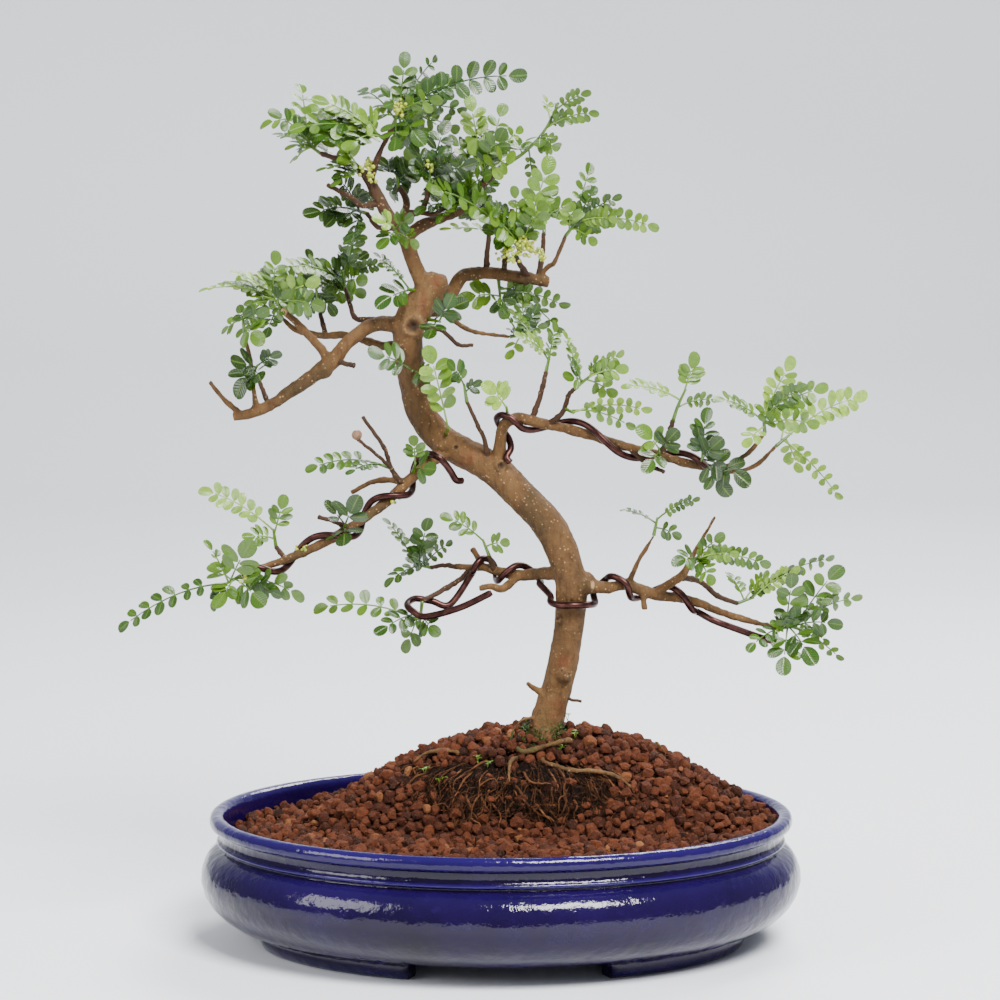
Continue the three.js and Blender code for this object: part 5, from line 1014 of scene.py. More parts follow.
# Leafy shoots: from pale 0, dark and mature, to 1, young and yellow-green. The shoot and its buds are
# [x, depth, z] in mm, the leaves [x, depth, z, pairs of leaflets, leaflet length, turn in degrees].
sprays = {
    "crown_top": {"pale": 0.45, "shoot": [(-45.8, -8, 351.6), (-43.5, -9, 357)],
        "buds": [(-42.8, -10.4, 358.6), (-44.6, -9, 359.3), (-41.4, -8.8, 359.8)],
        "leaves": [(-40.5, -12, 382, 3, 6.5, 15), (-27, 4, 380, 4, 4, 50), (11, -16, 371.5, 6, 7.5, 20),
            (-50.5, -15, 367, 1, 6, 30), (-25, -22, 361, 2, 6, 60), (-14, 6, 356.5, 4, 5, 55),
            (-33, -18, 342, 2, 8, 15), (-38, 5, 335, 3, 7, 25), (-23, 16, 348, 3, 6, 35),
            (-58, 6, 352, 3, 6, 20), (-45, -22, 339, 2, 7.5, 15), (-17, 12, 348, 3, 5.5, 30),
            (-33, 8, 352, 2, 7, 20), (-60, 18, 366, 3, 6.5, 20), (-19, 20, 369, 3, 6.5, 25)]},
    "crown_left": {"pale": 0.6, "shoot": [(-49.5, -9, 345.5), (-53, -13, 348)],
        "leaves": [(-80, -18, 362, 5, 7.5, 30), (-84, -13, 354.5, 5, 7, 45), (-103, 3, 351, 6, 6, 30),
            (-82, -24, 345, 3, 8, 20), (-60, -28, 355, 2, 8, 15), (-70, 8, 349, 3, 7, 20),
            (-77, -24, 351, 3, 7, 25), (-71, -7, 337, 3, 6, 30), (-90, -30, 349, 3, 7, 20),
            (-66, -36, 341, 2, 7.5, 15)]},
    "left_twig": {"pale": 0.68, "shoot": [(-76.7, -3, 339.5), (-79.5, -2, 341.5)],
        "leaves": [(-91, -5, 341, 2, 6, 70), (-85, 16, 369, 3, 6.5, 24), (-97, 10, 347, 4, 5.5, 60),
            (-90, 6, 334.5, 3, 5, 65), (-66, 4, 350, 3, 7, 20), (-74, 10, 343, 2, 7, 25),
            (-98, -14, 357, 3, 6.5, 25)]},
    "left_middle": {"pale": 0.7, "dense": True, "shoot": [(-58.5, -9, 331.8), (-61, -13, 334.5)],
        "buds": [(-57.5, -14, 333), (-55.5, -13, 330)],
        "leaves": [(-69, -20, 344, 3, 7, 20), (-79, -16, 331, 3, 5, 60), (-72, -24, 324.5, 3, 5.5, 40)]},
    "dark_row": {"pale": 0.08, "shoot": [(-57, 4, 314), (-60, 5, 315)],
        "buds": [(-56.5, -4, 335)],
        "leaves": [(-84.5, 0, 311.5, 5, 7.5, 15), (-67, -3, 308, 1, 7, 10), (-52, 10, 323, 2, 6, 20),
            (-70, -14, 329, 5, 6.5, 15), (-65, -8, 295.5, 4, 5, 40)]},
    "grey_top": {"pale": 0.2, "shoot": [(-43.5, 5, 325), (-44, 7, 328)],
        "leaves": [(-38, 14, 336, 2, 6, 20), (-53, 10, 337, 3, 6.5, 25), (-34, 14, 327, 3, 5.5, 40),
            (-47, 20, 318, 3, 6.5, 25), (-33, 12, 337, 3, 7, 20)]},
    "grey_side": {"pale": 0.25, "shoot": [(-30.8, -9, 325.5), (-30.5, -10, 329)],
        "buds": [(-31, -12, 334.5)],
        "leaves": [(-21, -3, 341, 4, 5, 45), (-18, -21, 335, 3, 5, 60), (-23, -9, 353, 3, 6.5, 15),
            (-38, -18, 331, 2, 6.5, 30), (-38, -15, 343, 3, 6, 20), (-12, 16, 343, 3, 5, 35),
            (-27, 4, 318, 3, 6, 25), (-10, -12, 334, 3, 6.5, 20)]},
    "fork_middle": {"pale": 0.45, "shoot": [(-19.5, 2, 315), (-19, -3, 318.5)],
        "leaves": [(-31, -22, 323, 3, 8, 10), (-15, -8, 334, 3, 6.5, 25), (-27, -20, 309, 4, 5, 40),
            (-6, -14, 319, 2, 7, 20), (-37, -14, 314, 3, 6, 25), (-10, 4, 326, 3, 6, 25),
            (-28, 10, 331, 3, 7, 20), (-15, -16, 325, 2, 7, 15), (-5, -28, 330, 3, 6.5, 20)]},
    "fork_upright": {"pale": 0.6, "shoot": [(-6.5, 8, 327), (-7.5, 4, 331)],
        "leaves": [(-13.5, 2, 364, 5, 7, 15), (1.5, -8, 349, 3, 7, 15), (9, 16, 350, 5, 4.5, 35),
            (-13, -6, 344, 2, 8, 10), (-25, 6, 330, 4, 5, 30), (6, -14, 337, 2, 7, 15),
            (-22, 0, 346, 3, 6, 25), (-4, 18, 321, 3, 6, 30), (1, 20, 360, 3, 6.5, 20)]},
    "fork_end": {"pale": 0.65, "shoot": [(0.8, 10, 333.9), (10, 8, 340), (18.5, 6, 349), (24.5, 5, 361)],
        "leaves": [(38, 2, 365, 4, 4.5, 65), (18.5, 8, 364.5, 2, 4, 60), (41.5, -4, 356, 5, 4.5, 60),
            (16.5, -6, 341.5, 1, 7, 10), (26, 16, 340, 3, 5.5, 30), (14, 14, 325, 3, 4, 50),
            (6, 14, 345, 2, 6.5, 20)]},
    "fork_base": {"pale": 0.6, "shoot": [(-43, -8, 304), (-45.5, -12, 308)],
        "leaves": [(-53, -17, 311, 3, 6, 20), (-37, -20, 311, 3, 6, 15), (-52, -16, 298, 2, 6.5, 20),
            (-35, -17, 299, 3, 5, 30)]},
    "bright_upright": {"pale": 0.62, "shoot": [(6, 10, 296.1), (9, 6, 300)],
        "buds": [(10.6, 4, 300.2), (9.2, 4.2, 302), (11.6, 5, 302.4), (8, 4.6, 299.6), (2.5, 3, 297.7),
            (5.9, 2, 299.5), (8.9, 1, 301.2), (12.3, 2, 299), (15.3, 4, 297.7), (17, 5, 296),
            (4.5, 2, 295.5), (1, 4, 297.5)],
        "leaves": [(21.5, 2, 337.5, 5, 8, 10), (-26, -8, 307, 5, 5, 50), (-5, -14, 312, 3, 8.5, 10),
            (9, 12, 318, 4, 4.5, 35), (-29, -38, 324, 5, 7, 12), (6, -4, 325, 3, 5.5, 30),
            (19, -12, 318, 3, 6.5, 25)]},
    "right_long": {"pale": 0.65, "shoot": [(27.6, 18, 304.6), (29.5, 17, 307)],
        "leaves": [(67.8, 10, 307, 7, 5, 35), (51.3, 14, 321, 6, 4.5, 55), (38.6, 24, 334.7, 4, 5.5, 25),
            (41, 8, 300, 2, 5, 30), (47, 22, 309, 4, 5.5, 25), (30, 6, 318, 3, 6, 20)]},
    "right_back": {"pale": 0.3, "dense": True, "shoot": [(18.3, 35, 305.4), (18.5, 36, 308)],
        "leaves": [(31, 40, 318, 3, 6, 20), (4, 40, 319, 4, 4.5, 35), (23, 46, 325, 3, 5.5, 25)]},
    "right_low": {"pale": 0.1, "dense": True, "shoot": [(-4.7, 22, 308.4), (-5, 23, 311)],
        "leaves": [(-12, 26, 322, 3, 6, 20), (-18, 30, 311, 3, 6, 35), (4, 30, 316, 2, 5.5, 30)]},
    "right_under": {"pale": 0.52, "dense": True, "shoot": [(-1, 22.5, 286), (-0.5, 22, 280.5)],
        "leaves": [(-19, 20, 276, 3, 8, 15), (29.8, 26, 273, 5, 5, 50), (13, 32, 280, 3, 5, 40),
            (27, 38, 262, 4, 4.5, 45)]},
    "back_right": {"pale": 0.6, "shoot": [(3.8, 19, 261.6), (6.5, 19, 262)],
        "leaves": [(8, 26, 280, 4, 5.5, 30), (16, 14, 275, 4, 5, 40), (3, 14, 251, 1, 5, 20),
            (-4, 12, 279, 4, 3.5, 60), (20, 22, 266, 4, 4.5, 50)]},
    "trunk_right": {"pale": 0.3, "shoot": [(-31, -2, 269), (-26, -8, 268)],
        "leaves": [(-20, -14, 278, 2, 7, 15), (-31, -16, 259, 2, 7, 10), (-14, -8, 276, 2, 7, 20)]},
    "trunk_long": {"pale": 0.55, "shoot": [(-24, 5, 219), (-22.5, -6, 222.5)],
        "leaves": [(-31, -18, 256.5, 5, 8, 10)]},
    "trunk_twig": {"pale": 0.32, "shoot": [(-14.6, -12, 233.6), (-15, -12.5, 236)],
        "leaves": [(-22, -24, 250, 4, 6, 30), (-8, -14, 242, 2, 4.5, 40)]},
    "trunk_left": {"pale": 0.42, "shoot": [(-37, 3, 247), (-38, -6.5, 247)],
        "leaves": [(-57, -12, 254, 3, 7.5, 10), (-30, -12, 241, 2, 6, 15)]},
    "trunk_shoulder": {"pale": 0.36, "shoot": [(-34, -1, 281), (-39.5, -6, 282)],
        "leaves": [(-54, -8, 297, 6, 4, 65), (-54, -13, 273.5, 3, 8, 15)]},
    "left_cluster": {"pale": 0.42, "dense": True, "shoot": [(-66.8, 14, 282.5), (-67, 13, 285)],
        "leaves": [(-59.5, 4, 309.5, 4, 5.5, 30), (-68.5, 12, 301, 5, 3.5, 70), (-57, 18, 297, 3, 5.5, 30),
            (-49, 12, 292, 5, 4, 65), (-78, 6, 291, 2, 7.5, 15), (-76, 4, 279, 3, 6, 20),
            (-95, -16, 290, 6, 6, 20), (-58, 0, 284, 3, 7, 20)]},
    "left_cluster_back": {"pale": 0.35, "shoot": [(-78, 30, 277), (-78.5, 31, 279.5)],
        "leaves": [(-82, 34, 299, 4, 5, 30), (-92, 36, 284, 3, 6.5, 20), (-66, 34, 288, 3, 6.5, 20),
            (-84, 42, 268, 3, 6, 30), (-70, 30, 270, 2, 6, 25), (-57, 36, 279, 3, 6, 25)]},
    "left_stub": {"pale": 0.72, "shoot": [(-93.8, -4, 273.5), (-96, -4, 276.5)],
        "leaves": [(-95.5, -6, 298, 4, 6, 20), (-115, -11, 289, 4, 5, 50), (-129.5, -4, 281, 6, 4.5, 60),
            (-113, 6, 286, 3, 6, 20), (-111, -15, 272, 4, 4.5, 60), (-78, -13, 284, 3, 6.5, 30),
            (-83, -1, 292, 3, 6, 40), (-75, -16, 273, 3, 7, 20), (-114, -2, 260.5, 4, 5, 40)]},
    "back_left_tip": {"pale": 0.35, "shoot": [(-93.5, 28, 269.5), (-95, 28.5, 271.5)],
        "leaves": [(-84, 18, 275, 3, 7, 15), (-101, 30, 291, 4, 5.5, 25), (-101, 18, 260, 3, 6, 20),
            (-110, 36, 275, 3, 6, 30)]},
    "left_upright": {"pale": 0.52, "shoot": [(-109.7, -25, 262.5), (-110, -26, 265)],
        "leaves": [(-120, -20, 262, 3, 5, 40), (-99, -32, 271, 3, 6, 40), (-112, -36, 274, 3, 5, 25),
            (-103, -34, 258.5, 2, 8, 10)]},
    "left_upright_low": {"pale": 0.25, "shoot": [(-106.5, -23.4, 245.6), (-105, -28, 248.2)],
        "leaves": [(-94, -30, 254, 4, 5, 40), (-114, -35, 249, 2, 8, 10), (-113, -28, 238, 1, 9, 15),
            (-103, -37, 242, 2, 8, 10)]},
    "right_twig": {"pale": 0.54, "shoot": [(19.3, 3, 246.3), (20, 3.5, 249.5)],
        "leaves": [(6, -4, 262, 5, 5, 35), (3.5, 8, 273, 7, 5, 50), (24, 8, 268, 5, 5, 45)]},
    "right_twig_low": {"pale": 0.58, "shoot": [(32.5, -17, 240.2), (34.8, -17, 242)],
        "leaves": [(53, -13, 254.5, 4, 4.5, 55), (54.5, -23, 247, 3, 5.5, 25), (50, -12, 235, 2, 5.5, 30),
            (26.5, -24, 243, 1, 6, 10), (27, -16, 264, 6, 4, 55)]},
    "right_side": {"pale": 0.65, "shoot": [(27.3, -12.5, 231), (30, -17, 229.5)],
        "leaves": [(65, -22, 229, 6, 4.5, 50), (58, -28, 221.5, 4, 4.5, 45)]},
    "right_bend": {"pale": 0.72, "shoot": [(3.5, -4.2, 225), (2.5, -7.5, 230.5)],
        "leaves": [(-7, -15, 241, 3, 7.5, 10)]},
    "right_bright": {"pale": 0.8, "shoot": [(73.9, -19, 225.5), (76, -20, 232), (78.3, -21, 237)],
        "leaves": [(84, -23, 254.5, 4, 7, 30), (52, -30, 240, 6, 5, 40), (94, -14, 234, 4, 4, 55)]},
    "right_olive": {"pale": 0.45, "shoot": [(68.3, -14, 210.6), (68, -19.5, 213)],
        "leaves": [(61, -25, 221, 2, 8, 10), (76, -27, 220, 2, 7.5, 15), (62, -27, 202.5, 2, 7.5, 10)]},
    "right_dark": {"pale": 0.15, "shoot": [(86, -17.5, 207.5), (87, -25, 210.5)],
        "leaves": [(84.5, -25, 223, 3, 6.5, 19), (95, -31, 216, 2, 7.5, 14), (98, -27, 191.5, 2, 8.2, 18),
            (108, -31, 197, 2, 8.5, 13), (88, -15, 231, 4, 7, 24)]},
    "right_end_up": {"pale": 0.82, "shoot": [(113.4, -24, 220.4), (113, -25, 224)],
        "leaves": [(125.5, -26, 252, 5, 6.5, 20), (140, -30, 239.5, 5, 6, 25), (91.5, -36, 235, 5, 5.5, 40),
            (137, -36, 222.5, 4, 5.5, 30), (104, -34, 213, 2, 6, 30)]},
    "right_end_low": {"pale": 0.8, "shoot": [(118.1, -3, 214.5), (120.5, -2, 216.5)],
        "leaves": [(157, 2, 236, 6, 6.5, 25), (129, 5, 202, 3, 5.5, 40), (147, -8, 190.5, 6, 4, 40),
            (124, 10, 231, 3, 6, 30)]},
    "middle_left_base": {"pale": 0.5, "shoot": [(-38, -4.5, 202.5), (-37, -9.5, 206.5)],
        "buds": [(-44.5, -9, 193)],
        "leaves": [(-37.5, -16, 219, 3, 5.5, 15), (-29, -16, 202.5, 1, 8, 10)]},
    "middle_left_pale": {"pale": 0.54, "shoot": [(-47.3, -12, 205.1), (-50, -13, 206)],
        "leaves": [(-84.7, -18, 203.5, 5, 5.5, 25), (-66.5, -28, 202, 4, 4.5, 40)]},
    "middle_left_dark": {"pale": 0.1, "shoot": [(-68, -17, 178), (-67, -22.5, 181)],
        "leaves": [(-63, -29, 188.5, 1, 9, 10), (-76, -26, 189.5, 1, 7, 40),
            (-67.5, -30, 171.5, 1, 9, 15)]},
    "middle_left_up": {"pale": 0.62, "shoot": [(-97, -20, 171), (-97.5, -20, 174.5)],
        "buds": [(-85.5, -22, 169)],
        "leaves": [(-129.5, -22, 195.6, 6, 6, 20), (-93, -22, 193, 3, 6, 15),
            (-111.5, -26, 174, 3, 5.5, 25)]},
    "middle_left_tip": {"pale": 0.5, "shoot": [(-112.2, -30, 158.6), (-116, -31, 156.5)],
        "buds": [(-109.5, -33, 157)],
        "leaves": [(-166.8, -30, 133.7, 6, 6, 25), (-127, -36, 173.5, 2, 5, 60),
            (-108, -42, 172, 2, 9.5, 10), (-126, -24, 162, 1, 8, 20), (-123, -38, 143, 2, 8, 20),
            (-102, -44, 143, 2, 9, 10), (-84, -36, 147.5, 4, 6.5, 40)]},
    "lower_left_up": {"pale": 0.6, "shoot": [(-5, 11, 167), (-6, 10.5, 169.5)],
        "leaves": [(-25.8, 6, 184.3, 4, 6, 25), (4, 4, 172, 2, 5, 20)]},
    "lower_left_end": {"pale": 0.4, "dense": True, "shoot": [(-30, 25, 162), (-32.5, 26, 162.5)],
        "leaves": [(-50, 30, 183.4, 5, 4.5, 50), (-31.5, 18, 182.6, 3, 6.5, 20),
            (-51, 20, 153.5, 3, 5.5, 40), (-21, 34, 173, 3, 4, 40), (-38, 14, 166, 2, 6.5, 15)]},
    "lower_left_low": {"pale": 0.45, "shoot": [(-34, 3, 147.5), (-35, 4.5, 138)],
        "leaves": [(-81.5, 6, 143.5, 5, 6.5, 21), (-27.5, -6, 131, 3, 6.5, 15),
            (-55, -4, 131.5, 3, 6.5, 20), (-42, 8, 124, 2, 6.5, 25)]},
    "lower_right_up": {"pale": 0.6, "shoot": [(65.9, -11, 176), (66.5, -11.5, 179)],
        "leaves": [(85.6, -12, 191.7, 6, 3.5, 70), (51.3, -10, 187, 4, 3, 65), (78, -16, 174, 2, 4.5, 25)]},
    "lower_right_fork": {"pale": 0.62, "dense": True, "shoot": [(82.6, -8, 165.5), (85, -12.5, 166)],
        "leaves": [(117, -16, 162, 7, 5, 30), (74, -20, 163, 2, 6.5, 10), (92, -22, 153.5, 3, 5.5, 20),
            (96, -20, 175, 3, 5.5, 15)]},
    "lower_right_back": {"pale": 0.68, "dense": True, "shoot": [(102.1, 17, 146.5), (105, 18, 147.5)],
        "leaves": [(129, 18, 161, 6, 5, 40), (144, 28, 166, 6, 4.5, 60), (98, 30, 160, 4, 5, 40)]},
    "lower_right_tip": {"pale": 0.52, "dense": True, "shoot": [(120.3, 6, 135.5), (124.5, 6, 136)],
        "leaves": [(146.5, 2, 162, 3, 8, 15), (156, 8, 149, 4, 5, 60), (147.8, -2, 136, 3, 6.5, 25),
            (148.6, 9, 120.6, 4, 4, 60), (136, -8, 118.5, 2, 9, 10), (122, -6, 113.5, 2, 8.5, 10),
            (126, -4, 159, 3, 7.5, 15), (106, -8, 125, 3, 5.5, 20)]},
}


def leafMaterial():
    material, tree, shader, output = newMaterial("leafBlade")
    colour = ramp(tree, attribute(tree, "tone"), [
        (0.0, leafing["dark"]), (0.35, leafing["mid"]), (0.7, leafing["fresh"]), (1.0, leafing["bright"])])
    mottle = noiseOf(tree, 600, 4, 0.6)
    colour = mixed(tree, scaled(tree, mottle, 0, 0.4, 0.42, 0.7), colour, leafing["mid"])
    across = maths(tree, "ABSOLUTE", attribute(tree, "across"))
    alongBlade = maths(tree, "MULTIPLY", attribute(tree, "reach"), 8)
    slanted = maths(tree, "SUBTRACT", alongBlade, maths(tree, "MULTIPLY", across, 1.6))
    veins = maths(tree, "SINE", maths(tree, "MULTIPLY", slanted, 2 * math.pi))
    rib = scaled(tree, across, 0.85, 0, 0.04, 0.12)
    lit = maths(tree, "MAXIMUM", rib, scaled(tree, veins, 0, 0.3, 0.75, 1))
    colour = mixed(tree, lit, colour, leafing["rib"], "LIGHTEN")
    colour = mixed(tree, attribute(tree, "bloom"), colour, leafing["bloom"])
    ridges = bump(tree, maths(tree, "ADD", veins, maths(tree, "MULTIPLY", rib, -4)), 0.25, 0.00025)
    blade = bump(tree, mottle, 0.3, 0.0003, ridges)
    dress(tree, shader, colour, scaled(tree, mottle, 0.15, 0.34), blade, leafing["specular"])
    glow = tree.nodes.new("ShaderNodeBsdfTranslucent")
    feed(tree, glow.inputs["Color"], mixed(tree, 0.5, colour, leafing["glow"]))
    blend = tree.nodes.new("ShaderNodeMixShader")
    for socket, value in zip(blend.inputs, (leafing["letThrough"], shader.outputs[0], glow.outputs[0])):
        feed(tree, socket, value)
    feed(tree, output.inputs["Surface"], blend.outputs[0])
    return material


leafPaint = leafMaterial()


# One leaflet from its foot, along `out`, with `ahead` across it and `face` as its upper side.
def leaflet(pile, foot, out, ahead, face, length, width, tone, rng, stalk=0.05):
    bendDown, fold = leafing["curl"] * rng.uniform(-0.3, 1.5), rng.uniform(0.02, 0.24)
    lean = rng.uniform(-0.12, 0.12)
    verts, across, reach = [], [], []
    for u, w in leafletOutline:
        for side in (-1, -0.5, 0, 0.5, 1):
            notch = 0.035 if u > 0.95 and side == 0 else 0
            along = length * (stalk + (1 - stalk) * (u - notch))
            half = width * w
            lift = fold * half * (abs(side) - 0.25 * side * side) - bendDown * length * u * u
            verts.append(foot + out * along + ahead * (half * side + lean * length * u * u) + face * lift)
            across.append(side)
            reach.append(u)
    corners = [r * 5 + c for r in range(len(leafletOutline) - 1) for c in range(4)]
    pile.add(verts, [(a, a + 1, a + 6, a + 5) for a in corners], tone=tone, across=across, reach=reach)


def leafFrames(base, tip, turn, count):
    span = tip - base
    rise = 4 * leafing["arch"] * math.hypot(span[0], span[1])
    stations = []
    for t in np.linspace(0, 1, count):
        centre = base + span * t + np.array([0, 0, rise * t * (1 - t)])
        along = unit(span + np.array([0, 0, rise * (1 - 2 * t)]))
        flat = np.array([0, -1, 0.35])
        flat = unit(flat - along * flat.dot(along))
        angle = math.radians(turn)
        face = flat * math.cos(angle) + np.cross(along, flat) * math.sin(angle)
        stations.append((centre, along, face, np.cross(along, face)))
    return stations


def leafAt(stations, t):
    place = t * (len(stations) - 1)
    i = min(int(place), len(stations) - 2)
    f = place - i
    return [a * (1 - f) + b * f for a, b in zip(stations[i], stations[i + 1])]


def addLeaf(pile, base, tip, pairs, size, turn, pale, rng):
    size = size * leafing["grow"] / 1000
    length = np.linalg.norm(tip - base)
    stations = leafFrames(base, tip, min(turn, leafing["steepest"]), 13)
    first, last = leafing["petiole"], max(1 - 1.1 * size / length, leafing["petiole"] + 0.2)
    tone = min(1, max(0, pale + rng.uniform(-0.27, 0.2)))
    path = np.array([leafAt(stations, share)[0] for share in np.linspace(0, last, 9)])
    pile.add(*tubeMesh(path, np.linspace(*leafing["ribRadius"], 9), 5), tone=min(1, tone + 0.12), across=1)
    spacing = length * (last - first) / pairs
    for i in range(pairs):
        near = 1 - 0.22 * abs(2 * (i + 0.5) / pairs - 1.1)
        for s in (1, -1):
            share = first + (last - first) * (i + 0.5 + rng.uniform(-0.08, 0.08)) / pairs
            centre, along, face, side = leafAt(stations, share)
            angle = math.radians(leafing["tilt"]) + rng.uniform(-0.16, 0.12)
            out = unit(along * math.cos(angle) + side * s * math.sin(angle) + face * rng.uniform(0.0, 0.3))
            normal = face + side * s * rng.uniform(-0.25, 0.1) + np.array([0, 0, rng.uniform(-0.1, 0.9)])
            normal = unit(normal - out * normal.dot(out))
            long = size * near * rng.uniform(0.92, 1.08)
            wide = max(min(0.34 * long, 0.5 * spacing * rng.uniform(0.9, 1.1)), 0.24 * long)
            shade = min(1, max(0, tone + rng.uniform(-0.16, 0.13)))
            leaflet(pile, centre, out, np.cross(out, normal), normal, long, wide, shade, rng)
    centre, along, face, side = leafAt(stations, last)
    leaflet(pile, centre, unit(along), side, face, size * 1.1, size * 0.38, tone, rng, 0.1)


def addBuds(pile, buds, rng):
    for bud in buds:
        for _ in range(leafing["florets"]):
            away = Vector([rng.gauss(0, 0.5) for _ in range(3)]) * leafing["clusterSpread"]
            floret = roundLump(2, rng.uniform(0.0005, 0.001))
            pile.addLump(floret, Vector(seen(bud)) + away, tone=0.9, across=1, bloom=rng.uniform(0.35, 1))


# The young shoot that the leaves sit on, drawn out to its least length.
def addShoot(pile, points):
    points = [np.array(p, float) for p in points]
    step = points[-1] - points[-2]
    points[-1] = points[-1] + step * max(0, leafing["shootLength"] / np.linalg.norm(step) - 1)
    path = spline([seen(p) for p in points], 12)
    pile.add(*tubeMesh(path, np.linspace(leafing["shootRadius"], 0.5, 12) / 1000, 8), tone=0.6, across=1)
    return path


def makeLeaves():
    rng = random.Random(leafing["seed"])
    total = 0
    for name, spray in sprays.items():
        pile = Pile("tone", "across", "reach", "bloom")
        path = addShoot(pile, spray["shoot"])
        leaves = spray["leaves"]
        full = len(leaves) > 4 or "dense" in spray
        for i, (x, y, z, pairs, size, turn) in enumerate(leaves):
            at = (0.9 - 0.7 * i / len(leaves)) * 11
            k = min(int(at), 10)
            base = path[k] * (1 - at + k) + path[k + 1] * (at - k)
            pale = spray["pale"] + (leafing["lead"] if i == 0 else 0)
            addLeaf(pile, base, seen((x, y, z)), pairs, size, turn, pale, rng)
            # A smaller leaf beside it, towards the one before.
            if full and pairs >= 3 and rng.random() < leafing["fill"]:
                here, there = np.array((x, y, z), float), np.array(leaves[i - 1][:3], float)
                share, short = rng.uniform(0.3, 0.5), rng.uniform(0.62, 0.85)
                aim = seen(here + (there - here) * share + (0, rng.uniform(-7, 7), 0))
                addLeaf(pile, base, base + (aim - base) * short, pairs, size * 0.85, turn, pale - 0.1, rng)
        addBuds(pile, spray.get("buds", []), rng)
        obj = pile.build("foliage_" + name, leafPaint)
        total += len(obj.data.polygons)
        finish(obj, ["leaves_" + name])
    print("leaves:", total, "faces")


makeLeaves()


# Berry husk on its twig
husk = {"at": (-61.9, -24.5, 219.4), "radius": 2.2, "brown": (0.07, 0.03, 0.015), "tan": (0.3, 0.17, 0.09)}


def makeHusk():
    material, tree, shader, _ = newMaterial("berryHusk")
    grain = noiseOf(tree, 800, 4, 0.7)
    colour = ramp(tree, grain, [(0.35, husk["brown"]), (0.7, husk["tan"])])
    dress(tree, shader, colour, 0.8, bump(tree, grain, 0.8, 0.0005))
    berry = roundLump(4, husk["radius"] / 1000)
    for v in berry.verts:
        split = max(0, 1 - abs(v.co.x) / 0.0005) * (v.co.z > 0) * 0.22
        v.co *= 1 - split + 0.05 * noise.noise(v.co * 1500)
    pile = Pile()
    pile.addLump(berry, Vector(seen(husk["at"])))
    finish(pile.build("berryHusk", material), ["berry_husk"])
    print("berry husk made")


makeHusk()


# Seedlings on the root ball at [x, z], moss round the trunk's foot, and loose roots: [x, depth, z, radius]
growth = {
    "seedlings": [
        (-33, 71.4), (-26.5, 67), (-10, 75.7), (-6, 74), (22.5, 82), (25, 80.5), (32, 87), (29, 95)],
    "looseRoots": [[(72, 6, 74, 0.3), (75, 5, 79, 0.28), (80, 5, 79.5, 0.22)]],
    "mossStrands": 420, "mossRadii": (0.00022, 0.00018, 0.00006), "seed": 8,
}


# The point of the ground that shows at x and z on the picture plane.
def groundAt(x, z):
    for y in np.arange(-60, 40, 0.5):
        at = seen((x, y, z))
        px, py, pz = at * 1000 - np.array([potX * 1000, 0, 0])
        if insideBall(px, py, pz) or pz < soilHeight(px, py):
            return at
    return seen((x, 0, z))


def addSeedling(pile, foot, rng):
    for _ in range(3):
        lean = np.array([rng.uniform(-0.6, 0.6), rng.uniform(-0.7, 0.1), 1])
        top = foot + unit(lean) * rng.uniform(0.002, 0.0045)
        stem = tubeMesh(np.array([foot, (foot + top) / 2, top]), np.full(3, 0.00016), 5)
        pile.add(*stem, tone=0.9, across=1)
        for k in range(4):
            angle = k * math.pi / 2 + rng.uniform(-0.3, 0.3)
            out = unit(np.array([math.cos(angle), math.sin(angle), 0.25]))
            ahead = unit(np.cross(out, (0, 0, 1.0)))
            length, tone = rng.uniform(0.001, 0.0019), rng.uniform(0.7, 0.9)
            leaflet(pile, top, out, ahead, np.cross(ahead, out), length, 0.00055, tone, rng, 0.2)


def makeGrowth():
    rng = random.Random(growth["seed"])
    pile = Pile("tone", "across", "reach", "bloom")
    for x, z in growth["seedlings"]:
        addSeedling(pile, groundAt(x, z), rng)
    trunkFoot = limbs["trunk"][1]
    for _ in range(growth["mossStrands"]):
        angle, away = rng.uniform(0, 2 * math.pi), rng.triangular(7.5, 14, 8)
        x, y = trunkFoot[0] + away * math.cos(angle), trunkFoot[1] + away * math.sin(angle)
        climb = rng.uniform(0, 0.004) * (away < 9)  # some strands grow up the bark
        foot = np.array([x / 1000 + potX, y / 1000, soilHeight(x, y) / 1000 + climb])
        tip = foot + np.array([rng.uniform(-1, 1), rng.uniform(-1, 1), rng.uniform(0.3, 1.3)]) * 0.0013
        strand = tubeMesh(np.array([foot, (foot + tip) / 2, tip]), growth["mossRadii"], 4)
        pile.add(*strand, tone=rng.uniform(0.1, 0.55), across=1)
    finish(pile.build("groundGrowth", leafPaint), [])
    pile = Pile("tone")
    for points in growth["looseRoots"]:
        path = spline([seen(p) for p in points], 14)
        pile.add(*tubeMesh(path, np.linspace(points[0][3], points[-1][3], 14) / 1000, 7), tone=0.9)
    finish(pile.build("looseRoots", rootPaint), [])
    print("seedlings, moss and loose roots made")


makeGrowth()


# Stage: a pale floor and backdrop, soft studio light and the camera at the photo's angle
studio = {
    "paper": (0.82, 0.84, 0.87), "paperLight": (0.84, 0.86, 0.89), "sky": (0.9, 0.93, 1),
    "skyStrength": 0.42,
    "cameraAt": (-0.0004, -1.2, 0.309), "pitch": 5.6, "lens": 100.8, "sensor": 36, "clip": (0.05, 20),
}
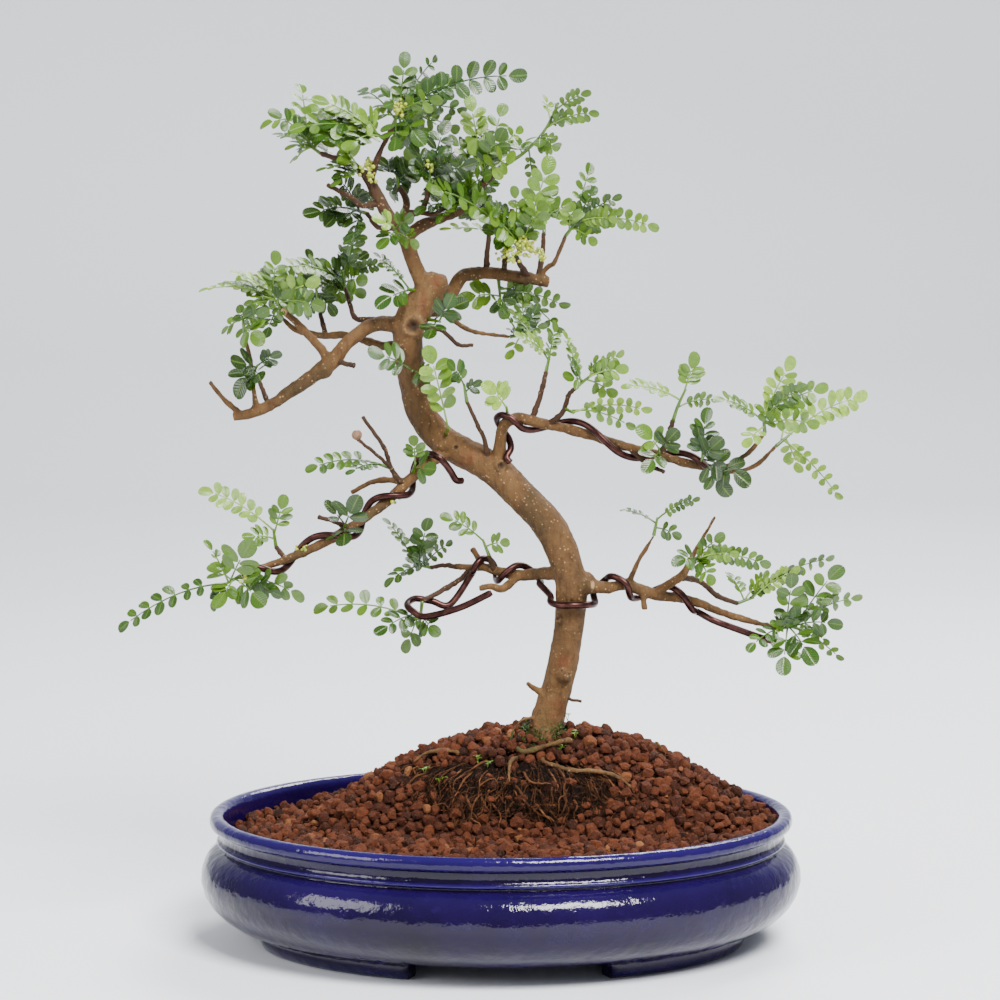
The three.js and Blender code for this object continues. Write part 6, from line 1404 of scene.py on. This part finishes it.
# Name, place, aim, width and height, power.
lights = [
    ("keyLight", (0.55, -1.1, 1.5), (0, 0, 0.15), (0.9, 0.6), 90),
    ("fillLight", (-1.3, -0.9, 0.9), (0, 0, 0.15), (0.8, 0.8), 20),
    ("rimLight", (0.5, 1.0, 1.3), (0, 0, 0.2), (0.9, 0.5), 34),
]
# Depth and height along the paper, from the front of the floor up the backdrop.
paperProfile = [(-2.5, 0), (1.2, 0), (1.6, 0.03), (1.9, 0.16), (2.05, 0.4), (2.1, 3)]


def areaLight(name, at, aim, size, power):
    light = bpy.data.lights.new(name, "AREA")
    light.energy = power
    light.shape = "RECTANGLE"
    light.size, light.size_y = size
    obj = bpy.data.objects.new(name, light)
    obj.location = at
    obj.rotation_euler = (Vector(aim) - Vector(at)).to_track_quat("-Z", "Y").to_euler()
    bpy.context.collection.objects.link(obj)
    return obj


def makePaper():
    material, tree, shader, _ = newMaterial("stagePaper")
    colour = ramp(tree, noiseOf(tree, 3, 2), [(0.3, studio["paper"]), (0.7, studio["paperLight"])])
    feed(tree, shader.inputs["Base Color"], colour)
    shader.inputs["Roughness"].default_value = 0.7
    pile = Pile()
    verts = [(x, y, z - 0.0003) for y, z in paperProfile for x in (-4, 4)]
    pile.add(verts, [(2 * i, 2 * i + 1, 2 * i + 3, 2 * i + 2) for i in range(len(paperProfile) - 1)])
    return pile.build("stageFloor", material)


def makeStage():
    makePaper()
    world = bpy.data.worlds.new("studioWorld")
    world.use_nodes = True
    background = world.node_tree.nodes["Background"]
    feed(world.node_tree, background.inputs["Color"], studio["sky"])
    background.inputs["Strength"].default_value = studio["skyStrength"]
    bpy.context.scene.world = world
    [areaLight(*light) for light in lights]
    lens = bpy.data.cameras.new("camera")
    lens.lens = studio["lens"]
    lens.sensor_width = studio["sensor"]
    lens.clip_start, lens.clip_end = studio["clip"]
    camera = bpy.data.objects.new("camera", lens)
    x, y, z = studio["cameraAt"]
    camera.location = (potX + x, y, z)
    camera.rotation_euler = (math.radians(90 - studio["pitch"]), 0, 0)
    bpy.context.collection.objects.link(camera)
    bpy.context.scene.camera = camera


makeStage()
print("stage made")
